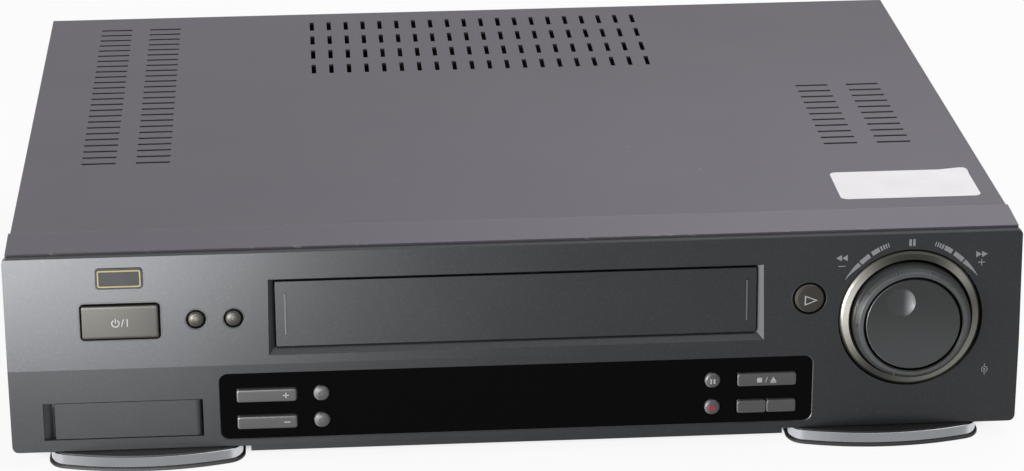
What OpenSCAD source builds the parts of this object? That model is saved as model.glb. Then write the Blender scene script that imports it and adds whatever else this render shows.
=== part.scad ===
// Front-loading video cassette recorder, modelled as it comes apart on a bench.
// X runs left to right seen from the front, Y runs from the front to the rear, Z is up.
// The origin is on the floor, under the middle of the machine.

/* [Body] */
// Width of the front moulding
body_w = 400; // [380:1:430]
// Height from the floor to the top of the cover
body_h = 90; // [88:1:100]
// Depth from the front face to the rear edge of the cover
body_d = 330; // [325:1:360]
// Height of the feet
foot_h = 6; // [5:0.5:8]
// Thickness of the sheet steel of the cover and the rear panel
sheet = 1.0; // [0.8:0.1:1.2]
// Wall of the plastic mouldings
wall = 2.2; // [1.8:0.1:2.6]
// How far the front plate stands out past the cover at each side
plate_lap = 2.0; // [1.5:0.1:3]

/* [Front face] */
// Thickness of the front plate
plate_t = 3.0; // [2.6:0.1:3.4]
// Height of the lower face, from its bottom edge to the crease
crease_rise = 35.6; // [33:0.2:36.4]
// How far the crease stands in front of the top edge
face_lean = 0.7; // [0:0.1:1]
// How far the lower face falls back from the crease to the bottom edge
face_tuck = 2.3; // [1.5:0.1:2.5]
// Radius of the two lower corners of the front plate
corner_r = 3; // [2:0.5:6]
// Radius of the two upper corners of the front plate
top_corner_r = 2.2; // [1:0.2:2.6]

/* [Cassette] */
// Width of a cassette
cassette_w = 188; // [186:0.5:192]
// Thickness of a cassette
cassette_h = 25; // [24.5:0.1:26]
// How far the cassette holder travels inwards
holder_travel = 84; // [70:1:88]

/* [Window] */
// Width of the dark window
window_w = 235.6; // [230:0.2:238]
// Height of the dark window
window_h = 28.7; // [28:0.1:29]
// Thickness of the window
window_t = 2.0; // [1.6:0.1:2.4]

/* [Keys] */
// Width of the standby key
standby_w = 29.8; // [24:0.2:32]
// Height of the standby key
standby_h = 13.5; // [11:0.1:15]
// Width of the long keys in the window
long_key_w = 23.4; // [20:0.2:25]
// Height of the long keys in the window
long_key_h = 5.2; // [4.4:0.1:6]
// Radius of the small round keys
round_key_r = 3.1; // [2.6:0.1:3.5]
// Radius of the play key
play_key_r = 5.8; // [5:0.1:6.5]
// Travel of a key
key_travel = 1.0; // [0.6:0.1:1.2]
// Gap round a key
key_gap = 0.5; // [0.3:0.05:0.6]

/* [Dial] */
// Radius of the bright ring round the dial
ring_r = 28.3; // [26.5:0.1:29]
// Radius of the grip of the shuttle ring
shuttle_r = 23.5; // [22:0.1:24]
// Radius of the jog disc
jog_r = 19.1; // [17:0.1:19.6]
// How far the dial stands out of the face
dial_reach = 8; // [5:0.5:10]

/* [Vents] */
// Length of a side vent slot
vent_l = 14.2; // [12:0.2:16]
// Width of every vent slot
vent_w = 2.0; // [1.4:0.1:2.4]
// Pitch of the side vent slots
vent_pitch = 8.35; // [6:0.05:8.6]
// Length of a rear vent slot
rear_vent_l = 13.5; // [10:0.5:15]

/* [Mechanism] */
// Radius of the head drum
drum_r = 31; // [28:0.5:32]
// Distance between the centres of the two reels
reel_gap = 92.4; // [88:0.2:96]
// Height of the deck plate's underside above the chassis
deck_rise = 14; // [13:0.5:16]
// Thickness of the deck plate
deck_t = 1.6; // [1.2:0.1:2]
// Radius of the capstan shaft
capstan_r = 1.6; // [1.4:0.1:2]

/* [Hidden] */
$fn = 64;

// Reach of the parts that stand out at the front and the rear, which centre the origin.
socket_reach = 9;
face_y = -(body_d + socket_reach - dial_reach) / 2;

// Fits
slip = 0.2;
run = 0.05;
seam = 0.3;
// How far a cut runs past what it cuts
cut = 1;
// How far one shape sinks into the shape that carries it
root = 0.4;
// How far the cuts through the front start before its face
before = 3;

// Levels
floor_t = 2;
base_z = foot_h;
floor_z = base_z + floor_t;
top_z = body_h - 1.8;
ledge_z = body_h - sheet - 1.2;
crease_z = base_z + crease_rise;
tilt = atan(face_tuck / crease_rise);
deck_z = base_z + deck_rise;
deck_top = deck_z + deck_t;
board_t = 1.6;
board_z = floor_z + 5;
board_edge = 2;

// Cover and chassis
cover_x = body_w / 2 - plate_lap;
inner_x = cover_x - sheet - slip;
band_d = 22;
band_y = plate_t + slip;
band_step = 0.8;
band_drop = 1;
return_d = 23;
tray_y = plate_t + 14;
tray_wall_h = 16;
rib_t = 1.6;
rib_h = 3;
panel_y = body_d - 2 * sheet - slip;
cover_z0 = base_z + 1;

// Window and the keys in it, in the frame of the lower face: heights run down from the crease
window_margin = 3.1;
window_front = 0.4;
window_mid = window_margin + window_h / 2 - crease_rise;
window_r = 3.5;
seat_y = window_front + window_t;
seat_t = 2;
seat_lap = 3;
upper_row = window_mid + 4.9;
lower_row = window_mid - 6.8;
long_key_x = window_w / 2 - 18.6;
round_key_x = window_w / 2 - 40.2;
display_w = 110;
display_h = 20;

// Keys and dial, spread over the panels beside the cassette door
door_w = cassette_w + 1.4;
side_panel = (body_w - door_w) / 2;
standby_x = -body_w / 2 + 0.425 * side_panel;
timer_x = -body_w / 2 + 0.705 * side_panel;
sound_x = -body_w / 2 + 0.844 * side_panel;
upper_key_z = top_z - 27;
dial_x = body_w / 2 - 0.417 * side_panel;
dial_z = top_z - 35.8;
play_x = body_w / 2 - 0.801 * side_panel;
play_z = top_z - 26.2;
key_front = -0.9;
flat_key_r = 0.8;
flange_w = 1.1;
flange_t = 1;
stem_r = 1.5;
split_gap = 0.15;

// Cassette door
door_h = cassette_h + 1.9;
door_t = 2;
door_y = 1;
door_gap = 0.45;
door_side_gap = 0.35;
door_top_z = top_z - 13;
door_z = door_top_z - door_h / 2;
bezel = 2;
hinge_y = 5.4;
hinge_z = door_top_z + 3.6;
hinge_r = 1.2;
barrel_r = 2;
ear_t = 2.6;

// Dial
ring_gap = 0.5;
well_y = 10;
well_t = 1.6;
ring_in = shuttle_r + 0.7;
bush_r = 4.5;
shaft_r = 3;
encoder_r = 11;
encoder_d = 7;

// Front input flap, in the plane of the lower face, between the side and the window
flap_margin = 17.4;
flap_to_window = 6.9;
flap_w = body_w / 2 - flap_margin - window_w / 2 - flap_to_window;
flap_h = 15.4;
flap_t = 1.6;
flap_x = -body_w / 2 + flap_margin;
flap_drop = 14.6;
flap_gap = 0.35;
flap_z0 = -flap_drop - flap_h - flap_gap;
flap_z1 = -flap_drop + flap_gap;
flap_y = 0.2;
flap_pin_r = 0.8;
flap_pin_l = 1.2;
flap_barrel_r = 2.4;
notch_w = 4.6;
notch_deep = 2.6;
pocket_d = 13;
pocket_t = 1.2;
shell_r = 4.15;
shell_margin = 1.2;
socket_edge = shell_r + shell_margin + 0.4;
socket_gap = (flap_w - 2 * flap_barrel_r - 2 * socket_edge) / 2;
shell_l = 8.5;
pin_hole_r = 1.65;

// Boards behind the front
display_board_y = 16;
key_board_y = 12;
board_post_r = 2;
board_post_rise = 8;
dial_board_y = well_y + well_t + encoder_d;
dial_board_x0 = play_x - play_key_r - 4.2;
dial_board_x1 = inner_x - wall - board_edge;
dial_board_z0 = dial_z - 22;
dial_board_z1 = play_z + 12;
post_margin = 3;
key_board_w = sound_x - standby_x + 27;
key_board_h = 22;
switch_w = 6;
switch_h = 3.6;
switch_gap = 0.2;
window_key_flange = seat_y + seat_t + slip / 2;
window_key_end = display_board_y - switch_h - key_travel - switch_gap;
upper_key_flange = plate_t + 1 + slip / 2;
upper_key_end = key_board_y - switch_h - key_travel - switch_gap;
play_key_end = dial_board_y - switch_h - key_travel - switch_gap;

// Deck
deck_half = 106;
deck_y0 = 32;
deck_y1 = 250;
reel_y = 101;
spindle_r = 2;
spindle_l = 11.8;
drum_y = 204;
drum_tilt = 6;
drum_shaft_r = 4;
drum_z = deck_top + 12;
lower_drum_h = 14;
upper_drum_h = 12;
bracket_x = cassette_w / 2 + 3.4;
bracket_t = 1.2;
bracket_y0 = 9;
bracket_y1 = 164;
holder_t = 1;
holder_x = door_w / 2 + 0.7;
holder_y0 = 12;
holder_y1 = 72;
holder_z = door_top_z - door_h - 0.2;
holder_pin_r = 2;
pin_y0 = 22;
pin_y1 = 62;
pin_z = door_z - 1;
capstan_x = 66;
capstan_y = 164;
pivot_x = 96;
pivot_y = 182;
pivot_r = 2.4;
pivot_l = 23.8;
roller_r = 7;
roller_pin_r = 1.5;
roller_pin_l = 24;
arm_l = 28;
arm_rest = 173.8;
flywheel_r = 22;
wheel_drop = 5.6;
wheel_t = 4;
guide_x0 = 30;
guide_y0 = 150;
guide_x1 = 45;
guide_y1 = 204;
guide_run = norm([guide_x1 - guide_x0, guide_y1 - guide_y0]);
guide_turn = atan((guide_x1 - guide_x0) / (guide_y1 - guide_y0));
slot_w = 5;

// Screws
screw_r = 1.5;
head_r = 3.4;
head_h = 2;
screw_l = 8;
boss_r = 3.4;
boss_l = 8;
side_screw_y = [60, body_d - 60];
side_screw_z = base_z + 10;
rear_screw_x = (body_w / 2 - 50) * [-1, 0, 1];
rear_screw_z = body_h - 7;
lip_h = 12;
deck_post = [for (x = [-1, 1], y = [deck_y0 + 7, deck_y1 - 26]) [x * (deck_half - 3.8), y]];

// Bays beside and behind the deck
bay_x0 = deck_half + 8;
bay_x1 = inner_x - boss_l - 1;
rear_bay_y = deck_y1 + 6;
socket_z = board_z + board_t;
side_post_x = [bay_x0 + 6, bay_x1 - 6];
side_post_y = [70, body_d - 30];
rear_post_x = 60;
scart_x = [-14, 46];
scart_w = 52;
scart_h = 17;
scart_d = 24;
scart_z = socket_z + scart_h / 2 + 1;
audio_x = [92, 107];
audio_z = socket_z + 11;
rf_x = bay_x1 - 20;
rf_z = [socket_z + 10, socket_z + 30];
rf_r = 4.75;
inlet_x = -bay_x1 + 22;
inlet_w = 28;
inlet_h = 20;
inlet_z = socket_z + inlet_h / 2;

// Vents in the cover
vent_x = [body_w / 2 - 62.6, body_w / 2 - 40];
vent_y0 = 110;
left_vent_rows = 25;
right_vent_rows = 11;
rear_vent_cols = 20;
rear_vent_rows = 4;
rear_vent_pitch_x = 7.97;
rear_vent_pitch_y = 23.2;
rear_vent_y = body_d - 90.8;
rear_vent_z = body_h - 32;

// Feet
foot_x = body_w / 2 - 52.8;
foot_half = 38;
foot_front = 5.4;
foot_arc_r = 102;
foot_d = 40;
flange_h = 1.4;
flange_lap = 0.9;
trim_t = 0.8;
trim_h = 4.2;
rear_foot_x = body_w / 2 - 60;
rear_foot_y = body_d - 42;
rear_foot_r = 11;

// Colours
plate_grey = [0.36, 0.36, 0.37];
cover_grey = [0.43, 0.42, 0.44];
dark = [0.05, 0.05, 0.055];
key_grey = [0.42, 0.41, 0.38];
steel = [0.62, 0.63, 0.64];
can_blue = [0.1, 0.12, 0.3];
board_green = [0.12, 0.3, 0.16];
chrome = [0.75, 0.76, 0.78];

// Rounded outline, centred
module rounded(w, h, r) {
    square([w - 2 * r, h], center = true);
    square([w, h - 2 * r], center = true);
    for (sx = [-1, 1], sz = [-1, 1]) translate([sx * (w / 2 - r), sz * (h / 2 - r)]) circle(r);
}

// Outline of the front plate, with its own radius at the lower and at the upper corners, centred
module plate_outline(w, h, low_r, top_r) {
    translate([-w / 2, -h / 2 + low_r]) square([w, h - low_r - top_r]);
    translate([-w / 2 + low_r, -h / 2]) square([w - 2 * low_r, h / 2]);
    translate([-w / 2 + top_r, 0]) square([w - 2 * top_r, h / 2]);
    for (sx = [-1, 1]) {
        translate([sx * (w / 2 - low_r), -h / 2 + low_r]) circle(low_r);
        translate([sx * (w / 2 - top_r), h / 2 - top_r]) circle(top_r);
    }
}

// A Y-Z profile extruded across the width, centred
module across(w) {
    rotate([90, 0, 90]) linear_extrude(w, center = true) children();
}

// An X-Z outline extruded backwards from depth y0
module behind(y0, t) {
    translate([0, y0 + t, 0]) rotate([90, 0, 0]) linear_extrude(t) children();
}

// A rod along Y from depth y0
module rod_y(y0, l, r) {
    translate([0, y0, 0]) rotate([-90, 0, 0]) cylinder(h = l, r = r);
}

// A rod along X from x0
module rod_x(x0, l, r) {
    translate([x0, 0, 0]) rotate([0, 90, 0]) cylinder(h = l, r = r);
}

// A profile of [radius, depth] points turned about the Y axis
module turned_y(points) {
    rotate([-90, 0, 0]) rotate_extrude() polygon(points);
}

// The frame of the lower face: origin on the crease, Z up the face, Y into the body
module on_lower_face() {
    translate([0, -face_lean, crease_z]) rotate([tilt, 0, 0]) children();
}

// A box from its lowest to its highest corner
module box(low, high) {
    translate(low) cube(high - low);
}

// Cover
module top_cover() {
    color(cover_grey) difference() {
        union() {
            cover_sheet();
            cover_band();
        }
        cover_vents();
        cover_screw_holes();
    }
}

module cover_sheet() {
    y0 = band_y + band_d;
    across(2 * cover_x) polygon([
        [y0, body_h - sheet], [panel_y + sheet + slip, body_h - sheet],
        [panel_y + sheet + slip, body_h - lip_h], [body_d, body_h - lip_h],
        [body_d, body_h], [y0, body_h]
    ]);
    for (side = [-1, 1])
        box([side > 0 ? cover_x - sheet : -cover_x, y0, cover_z0],
            [side > 0 ? cover_x : -cover_x + sheet, body_d, body_h]);
}

// The front band is set out a little at the sides and slopes down to the front plate.
module cover_band() {
    x1 = cover_x + band_step;
    y1 = band_y + band_d;
    across(2 * x1) polygon([
        [band_y, body_h - sheet - band_drop], [y1, body_h - sheet],
        [y1, body_h], [band_y, body_h - band_drop]
    ]);
    for (side = [-1, 1]) translate([side * (x1 - sheet / 2), 0, 0]) across(sheet) polygon([
        [band_y, cover_z0], [y1 + sheet, cover_z0], [y1 + sheet, body_h - sheet / 2],
        [y1, body_h - sheet / 2], [band_y, body_h - sheet / 2 - band_drop]
    ]);
}

module cover_vents() {
    deep = 4 * sheet;
    for (x = vent_x) {
        for (i = [0:left_vent_rows - 1])
            translate([-x - vent_l, vent_y0 + i * vent_pitch - vent_w / 2, body_h - deep / 2])
                cube([vent_l, vent_w, deep]);
        for (i = [0:right_vent_rows - 1])
            translate([x, vent_y0 + i * vent_pitch - vent_w / 2, body_h - deep / 2])
                cube([vent_l, vent_w, deep]);
    }
    for (i = [0:rear_vent_cols - 1], j = [0:rear_vent_rows - 1])
        translate([(i - (rear_vent_cols - 1) / 2) * rear_vent_pitch_x - vent_w / 2,
                rear_vent_y + j * rear_vent_pitch_y - rear_vent_l / 2, body_h - deep / 2])
            cube([vent_w, rear_vent_l, deep]);
}

module cover_screw_holes() {
    for (y = side_screw_y) translate([0, y, side_screw_z])
        rod_x(-body_w / 2, body_w, screw_r + slip);
    for (x = rear_screw_x) translate([x, 0, rear_screw_z])
        rod_y(panel_y, 4 * sheet, screw_r + slip);
}

// Chassis
module bottom_chassis() {
    color([0.13, 0.13, 0.14]) difference() {
        union() {
            box([-inner_x, tray_y, base_z], [inner_x, panel_y, floor_z]);
            for (side = [-1, 1]) translate([side * (inner_x - wall / 2), 0, 0])
                across(wall) polygon([
                    [band_y + return_d + seam, base_z], [panel_y, base_z],
                    [panel_y, base_z + tray_wall_h],
                    [band_y + return_d + seam, base_z + tray_wall_h]
                ]);
            chassis_bosses();
            chassis_ribs();
        }
        chassis_vents();
        for (y = side_screw_y) translate([0, y, side_screw_z])
            rod_x(-body_w / 2, body_w, screw_r + run);
        for (p = deck_post) translate([p[0], p[1], base_z - cut])
            cylinder(h = deck_rise + 2 * cut, r = screw_r + run);
    }
}

module chassis_bosses() {
    for (side = [-1, 1], y = side_screw_y) translate([0, y, side_screw_z])
        rod_x(side > 0 ? inner_x - boss_l : -cover_x + sheet, boss_l + slip, boss_r);
    for (p = deck_post) translate([p[0], p[1], base_z]) cylinder(h = deck_rise, r = boss_r);
    for (x = side_post_x, y = side_post_y, side = [-1, 1])
        translate([side * x, y, base_z]) cylinder(h = board_z - base_z, r = boss_r);
    for (side = [-1, 1]) translate([side * rear_post_x, side_post_y[1], base_z])
        cylinder(h = board_z - base_z, r = boss_r);
}

module chassis_ribs() {
    margin = 10;
    for (side = [-1, 1]) translate([side * (deck_half + rib_h), 0, 0])
        box([-rib_t / 2, tray_y + margin, base_z], [rib_t / 2, panel_y - margin, floor_z + rib_h]);
    box([-inner_x, rear_bay_y - rib_h - rib_t, base_z],
        [inner_x, rear_bay_y - rib_h, floor_z + rib_h]);
}

module chassis_vents() {
    slot = [40, 3, floor_t + 2 * cut];
    pitch = 14;
    for (side = [-1, 1], i = [0:8])
        translate([side * (bay_x0 + bay_x1) / 2 - slot[0] / 2, vent_y0 + i * pitch, base_z - cut])
            cube(slot);
}

// Rear panel
module rear_panel() {
    color([0.5, 0.5, 0.52]) difference() {
        box([-inner_x, panel_y, base_z + 3 * slip],
            [inner_x, panel_y + sheet, body_h - sheet - slip]);
        for (x = scart_x) translate([x, 0, scart_z]) through_panel()
            square([scart_w + 2 * slip, scart_h + 2 * slip], center = true);
        for (x = audio_x) translate([x, 0, audio_z]) through_panel() circle(shell_r + 2);
        for (z = rf_z) translate([rf_x, 0, z]) through_panel() circle(rf_r + slip);
        translate([inlet_x, 0, inlet_z]) through_panel()
            square([inlet_w + 2 * slip, inlet_h + 2 * slip], center = true);
        for (x = rear_screw_x) translate([x, 0, rear_screw_z]) through_panel() circle(screw_r + run);
        rear_panel_vents();
    }
}

module through_panel() {
    behind(panel_y - cut, sheet + 2 * cut) children();
}

module rear_panel_vents() {
    slots = 14;
    pitch = 5;
    slot_h = 16;
    for (i = [0:slots - 1]) translate([-bay_x0 + i * pitch, 0, rear_vent_z]) through_panel()
        square([vent_w, slot_h]);
}

// Front moulding
module front_fascia() {
    color(plate_grey) difference() {
        union() {
            front_plate();
            front_returns();
            on_lower_face() window_seat();
            translate([dial_x, 0, dial_z])
                rod_y(plate_t - root, well_y + well_t - plate_t + root, ring_r + ring_gap + wall);
            door_ears();
            flap_ears(0);
            key_collars();
            board_posts();
        }
        door_opening();
        on_lower_face() window_opening();
        on_lower_face() window_key_holes();
        dial_opening();
        upper_key_holes();
        flap_opening();
        for (side = [-1, 1]) translate([0, hinge_y, hinge_z])
            rod_x(side > 0 ? door_w / 2 : -door_w / 2 - 3 * ear_t, 3 * ear_t, hinge_r + run);
    }
}

module front_plate() {
    soft = 0.5;
    foot_y = face_tuck - face_lean;
    skirt_w = 2 * (foot_x - foot_half - 3.2);
    skirt_drop = 2;
    intersection() {
        across(body_w) polygon([
            [soft, top_z], [0, top_z - soft], [-face_lean, crease_z],
            [foot_y - soft / 5, base_z + soft], [foot_y + soft, base_z],
            [plate_t, base_z], [plate_t, top_z]
        ]);
        translate([0, 0, (top_z + base_z) / 2]) behind(-wall, plate_t + 2 * wall)
            plate_outline(body_w, top_z - base_z, corner_r, top_corner_r);
    }
    across(skirt_w) polygon([
        [foot_y, base_z + soft], [foot_y + soft / 2, base_z - skirt_drop],
        [plate_t + 1, base_z - skirt_drop], [plate_t + 1, base_z + soft]
    ]);
}

module front_returns() {
    y0 = plate_t - root;
    y1 = band_y + return_d;
    for (side = [-1, 1]) translate([side * (inner_x - wall / 2), 0, 0])
        across(wall) translate([y0, floor_z + slip]) square([y1 - y0, ledge_z - floor_z - slip]);
    box([-inner_x, y0, ledge_z - wall], [inner_x, y1, ledge_z]);
    box([-inner_x + 2 * corner_r, y0, base_z], [inner_x - 2 * corner_r, tray_y, base_z + wall]);
}

// The ledge that the window is glued to, with posts for the display board behind it
module window_seat() {
    y0 = plate_t / 2;
    post_x = [window_w / 2 - 0.8, display_w / 2 + 6.5];
    translate([0, 0, window_mid]) {
        behind(y0, seat_y + seat_t - y0)
            rounded(window_w + 2 * seat_lap, window_h + seat_lap, window_r);
        for (x = post_x, sx = [-1, 1], z = [-1, 1])
            translate([sx * x, 0, z * board_post_rise])
                rod_y(seat_y, display_board_y - seat_y, board_post_r);
    }
}

module window_opening() {
    translate([0, 0, window_mid]) {
        behind(-before, before + seat_y) rounded(window_w + slip, window_h + slip, window_r + slip / 2);
        behind(seat_y - cut, seat_t + 2 * cut) square([display_w, display_h + 3], center = true);
    }
}

module door_opening() {
    hole_w = door_w + 2 * door_gap;
    hole_h = door_h + 2 * door_gap;
    translate([0, 0, door_z]) {
        behind(-before, 2 * before + plate_t) square([hole_w, hole_h], center = true);
        bevelled_frame(hole_w, hole_h, bezel);
    }
}

// A block of four sloping sides, wide at the front and narrow at depth b
module bevelled_frame(w, h, b) {
    intersection() {
        across(w + 4 * b) polygon([
            [-cut, -h / 2 - b - cut], [b, -h / 2], [b, h / 2], [-cut, h / 2 + (b + cut) / 2]
        ]);
        linear_extrude(h + 6 * b, center = true) polygon([
            [-w / 2 - b - cut, -cut], [w / 2 + b + cut, -cut], [w / 2, b], [-w / 2, b]
        ]);
    }
}

module door_ears() {
    x0 = door_w / 2 + door_side_gap;
    reach = hinge_r + 1.8;
    for (side = [-1, 1]) translate([side > 0 ? 0 : -2 * x0 - ear_t, 0, 0])
        box([x0, plate_t - root, hinge_z - reach], [x0 + ear_t, hinge_y + reach, hinge_z + reach]);
}

module dial_opening() {
    translate([dial_x, 0, dial_z]) {
        rod_y(-before, before + well_y, ring_r + ring_gap);
        rod_y(well_y - cut, well_t + 2 * cut, bush_r + 3);
    }
}

module upper_key_holes() {
    deep = before + plate_t + 2 * before;
    translate([standby_x, 0, upper_key_z]) behind(-before, deep)
        rounded(standby_w + 2 * key_gap, standby_h + 2 * key_gap, flat_key_r + key_gap);
    for (x = [timer_x, sound_x]) translate([x, 0, upper_key_z])
        rod_y(-before, deep, round_key_r + key_gap);
    translate([play_x, 0, play_z]) rod_y(-before, deep, play_key_r + key_gap);
}

// Short tubes behind the round holes guide the keys.
module key_collars() {
    collar_t = 1;
    collar_l = 1;
    for (x = [timer_x, sound_x]) translate([x, 0, upper_key_z])
        rod_y(plate_t - root, root + collar_l, round_key_r + key_gap + collar_t);
    translate([play_x, 0, play_z])
        rod_y(plate_t - root, root + collar_l, play_key_r + key_gap + collar_t);
}

module window_key_holes() {
    deep = before + seat_y + seat_t + cut;
    for (x = [-round_key_x, round_key_x], z = [upper_row, lower_row]) translate([x, 0, z])
        rod_y(-before, deep, round_key_r + key_gap);
    for (x = [-long_key_x, long_key_x], z = [upper_row, lower_row]) translate([x, 0, z])
        behind(-before, deep)
            rounded(long_key_w + 2 * key_gap, long_key_h + 2 * key_gap, flat_key_r + slip);
}

// Posts that carry the key board and the dial board
module board_posts() {
    y0 = plate_t - root;
    for (x = [(standby_x + standby_w / 2 + timer_x) / 2, sound_x + round_key_r + 2.5], z = [-1, 1])
        translate([x, 0, upper_key_z + z * board_post_rise])
            rod_y(y0, key_board_y - y0, board_post_r);
    for (p = [[dial_board_x0 + post_margin, play_z - play_key_r - 7],
            [dial_board_x0 + post_margin, dial_board_z1 - post_margin],
            [dial_board_x1 - post_margin, dial_board_z0 + post_margin],
            [dial_board_x1 - post_margin, dial_board_z1 - post_margin]])
        translate([p[0], 0, p[1]]) rod_y(y0, dial_board_y - y0, board_post_r);
}

// Ears behind the plate that hold the flap's pins, grown for the notches in the pocket
module flap_ears(grow) {
    x = flap_x + flap_w - flap_barrel_r;
    half = flap_barrel_r + grow;
    ear_h = 2 + grow;
    on_lower_face() for (z = [flap_z1, flap_z0 - ear_h])
        box([x - half, plate_t / 2, z], [x + half, flap_y + 2 * flap_barrel_r + grow, z + ear_h]);
}

module flap_opening() {
    h = flap_z1 - flap_z0;
    on_lower_face() {
        box([flap_x - flap_gap, -before, flap_z0],
            [flap_x + flap_w + flap_gap, pocket_d - pocket_t, flap_z1]);
        translate([0, 0, flap_z0]) linear_extrude(h)
            polygon([
                [flap_x - notch_w, -cut], [flap_x - notch_w, 0.6], [flap_x - 1, notch_deep],
                [flap_x, notch_deep], [flap_x, -cut]
            ]);
        for (i = [0:2]) translate([socket_x(i), 0, socket_drop()])
            rod_y(pocket_d - pocket_t - cut, pocket_t + 2 * cut, shell_r + shell_margin);
        translate([flap_x + flap_w - flap_barrel_r, flap_y + flap_barrel_r,
                flap_z0 - flap_pin_l - cut])
            cylinder(h = h + 2 * (flap_pin_l + cut), r = flap_pin_r + run);
    }
}

function socket_x(i) = flap_x + socket_edge + i * socket_gap;
function socket_drop() = -flap_drop - flap_h / 2;

module display_window() {
    color(dark) on_lower_face() difference() {
        translate([0, 0, window_mid]) behind(window_front, window_t)
            rounded(window_w - slip, window_h - slip, window_r);
        window_key_holes();
    }
}

// Cassette door, hung on two pins above the opening
module cassette_door() {
    mark_w = 0.7;
    mark_h = 16.8;
    arm_w = 3;
    arm_y = door_y + door_t - root;
    barrel_l = door_w - 1.8;
    pin_l = door_w + 2 * ear_t;
    color(plate_grey) {
        translate([0, 0, door_z]) behind(door_y, door_t) rounded(door_w, door_h, 0.6);
        for (side = [-1, 1]) {
            translate([side * (door_w / 2 - 3.8), 0, door_z + root])
                behind(door_y - mark_w / 2, mark_w) rounded(mark_w, mark_h, mark_w * 0.4);
            translate([side * (barrel_l - arm_w) / 2, 0, 0]) across(arm_w) polygon([
                [arm_y, door_top_z - 8], [hinge_y + 1.4, hinge_z - 1],
                [hinge_y - 1.6, hinge_z + 0.6], [plate_t + root, door_top_z - 1],
                [arm_y, door_top_z - 3]
            ]);
        }
        translate([0, hinge_y, hinge_z]) {
            rod_x(-barrel_l / 2, barrel_l, barrel_r);
            rod_x(-pin_l / 2, pin_l, hinge_r);
        }
    }
}

// Flap over the front sockets, hung at its right end
module input_flap() {
    z0 = -flap_drop - flap_h;
    color(plate_grey) on_lower_face() {
        box([flap_x, flap_y, z0], [flap_x + flap_w - flap_barrel_r, flap_y + flap_t, -flap_drop]);
        translate([flap_x + flap_w - flap_barrel_r, flap_y + flap_barrel_r, z0])
            cylinder(h = flap_h, r = flap_barrel_r);
        translate([flap_x + flap_w - flap_barrel_r, flap_y + flap_barrel_r, z0 - flap_pin_l])
            cylinder(h = flap_h + 2 * flap_pin_l, r = flap_pin_r);
    }
}

// Keys: a cap in the hole, a flange that keeps it in, and a stem to its switch
module round_key(r, front, flange_y, end_y) {
    crown = 0.5;
    turned_y([
        [0, front - crown], [r * 0.45, front - crown * 0.8], [r * 0.8, front - crown * 0.3],
        [r - 0.3, front + 0.1], [r, front + crown], [r, flange_y], [r + flange_w, flange_y],
        [r + flange_w, flange_y + flange_t], [stem_r, flange_y + flange_t], [stem_r, end_y], [0, end_y]
    ]);
}

module flat_key(w, h, front, flange_y, end_y) {
    flat_cap(w, h, front, flange_y);
    behind(flange_y, flange_t) square([w + 2 * flange_w, h + 1.5 * flange_w], center = true);
    key_stem(flange_y, end_y);
}

// The cap has a second, smaller face in front, which softens its edge.
module flat_cap(w, h, front, flange_y) {
    step = 0.3;
    behind(front, flange_y - front) rounded(w, h, flat_key_r);
    behind(front - step, step + root) rounded(w - 1, h - 1, flat_key_r - step);
}

module key_stem(flange_y, end_y) {
    y0 = flange_y + flange_t - root;
    rod_y(y0, end_y - y0, stem_r);
}

module split_key(side) {
    half_w = long_key_w / 2 - split_gap;
    translate([side * (half_w / 2 + split_gap), 0, 0]) {
        flat_cap(half_w, long_key_h, key_front, window_key_flange);
        translate([side * flange_w / 2, 0, 0]) behind(window_key_flange, flange_t)
            square([half_w + flange_w, long_key_h + 1.5 * flange_w], center = true);
        key_stem(window_key_flange, window_key_end);
    }
}

module standby_key() {
    color(key_grey) translate([standby_x, 0, upper_key_z])
        flat_key(standby_w, standby_h, key_front, plate_t + slip / 2, upper_key_end);
}

module upper_round_key(x) {
    color(key_grey) translate([x, 0, upper_key_z])
        round_key(round_key_r, key_front, upper_key_flange, upper_key_end);
}

module play_key() {
    color(key_grey) translate([play_x, 0, play_z])
        round_key(play_key_r, key_front, upper_key_flange, play_key_end);
}

module window_round_key(side, z) {
    color([0.3, 0.3, 0.3]) on_lower_face() translate([side * round_key_x, 0, z])
        round_key(round_key_r, key_front, window_key_flange, window_key_end);
}

module window_long_key(side, z) {
    color([0.3, 0.3, 0.3]) on_lower_face() translate([side * long_key_x, 0, z])
        flat_key(long_key_w, long_key_h, key_front, window_key_flange, window_key_end);
}

module window_split_key(side) {
    color([0.3, 0.3, 0.3]) on_lower_face() translate([long_key_x, 0, lower_row]) split_key(side);
}

// Dial: a fixed bright ring, a sprung shuttle ring and a free jog disc on one shaft
module dial_ring() {
    color([0.55, 0.54, 0.48]) translate([dial_x, 0, dial_z]) turned_y([
        [ring_in, -0.2], [ring_in + 0.6, -0.9], [ring_r - 1.2, -0.5], [ring_r, 0.6],
        [ring_r, well_y], [ring_r - 1.5, well_y], [ring_r - 1.5, 3], [ring_in, 3]
    ]);
}

module shuttle_ring() {
    nubs = 10;
    lip = jog_r + 0.4;
    color(plate_grey) translate([dial_x, 0, dial_z]) {
        turned_y([
            [lip, -dial_reach + 0.5], [lip + 0.5, -dial_reach],
            [shuttle_r - 2.2, -dial_reach + 0.3], [shuttle_r - 0.6, -dial_reach + 1.8],
            [shuttle_r, -dial_reach + 4], [shuttle_r, 5], [shuttle_r - 1.6, 6.4],
            [shuttle_r - 1.6, 8.4], [bush_r + run, 8.4], [bush_r + run, 6.4],
            [lip, 6.4], [lip, 4]
        ]);
        for (i = [0:nubs - 1]) rotate([0, i * 360 / nubs, 0])
            translate([shuttle_r - 1.3, -dial_reach + 1.5, 0]) sphere(0.7);
    }
}

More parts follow.
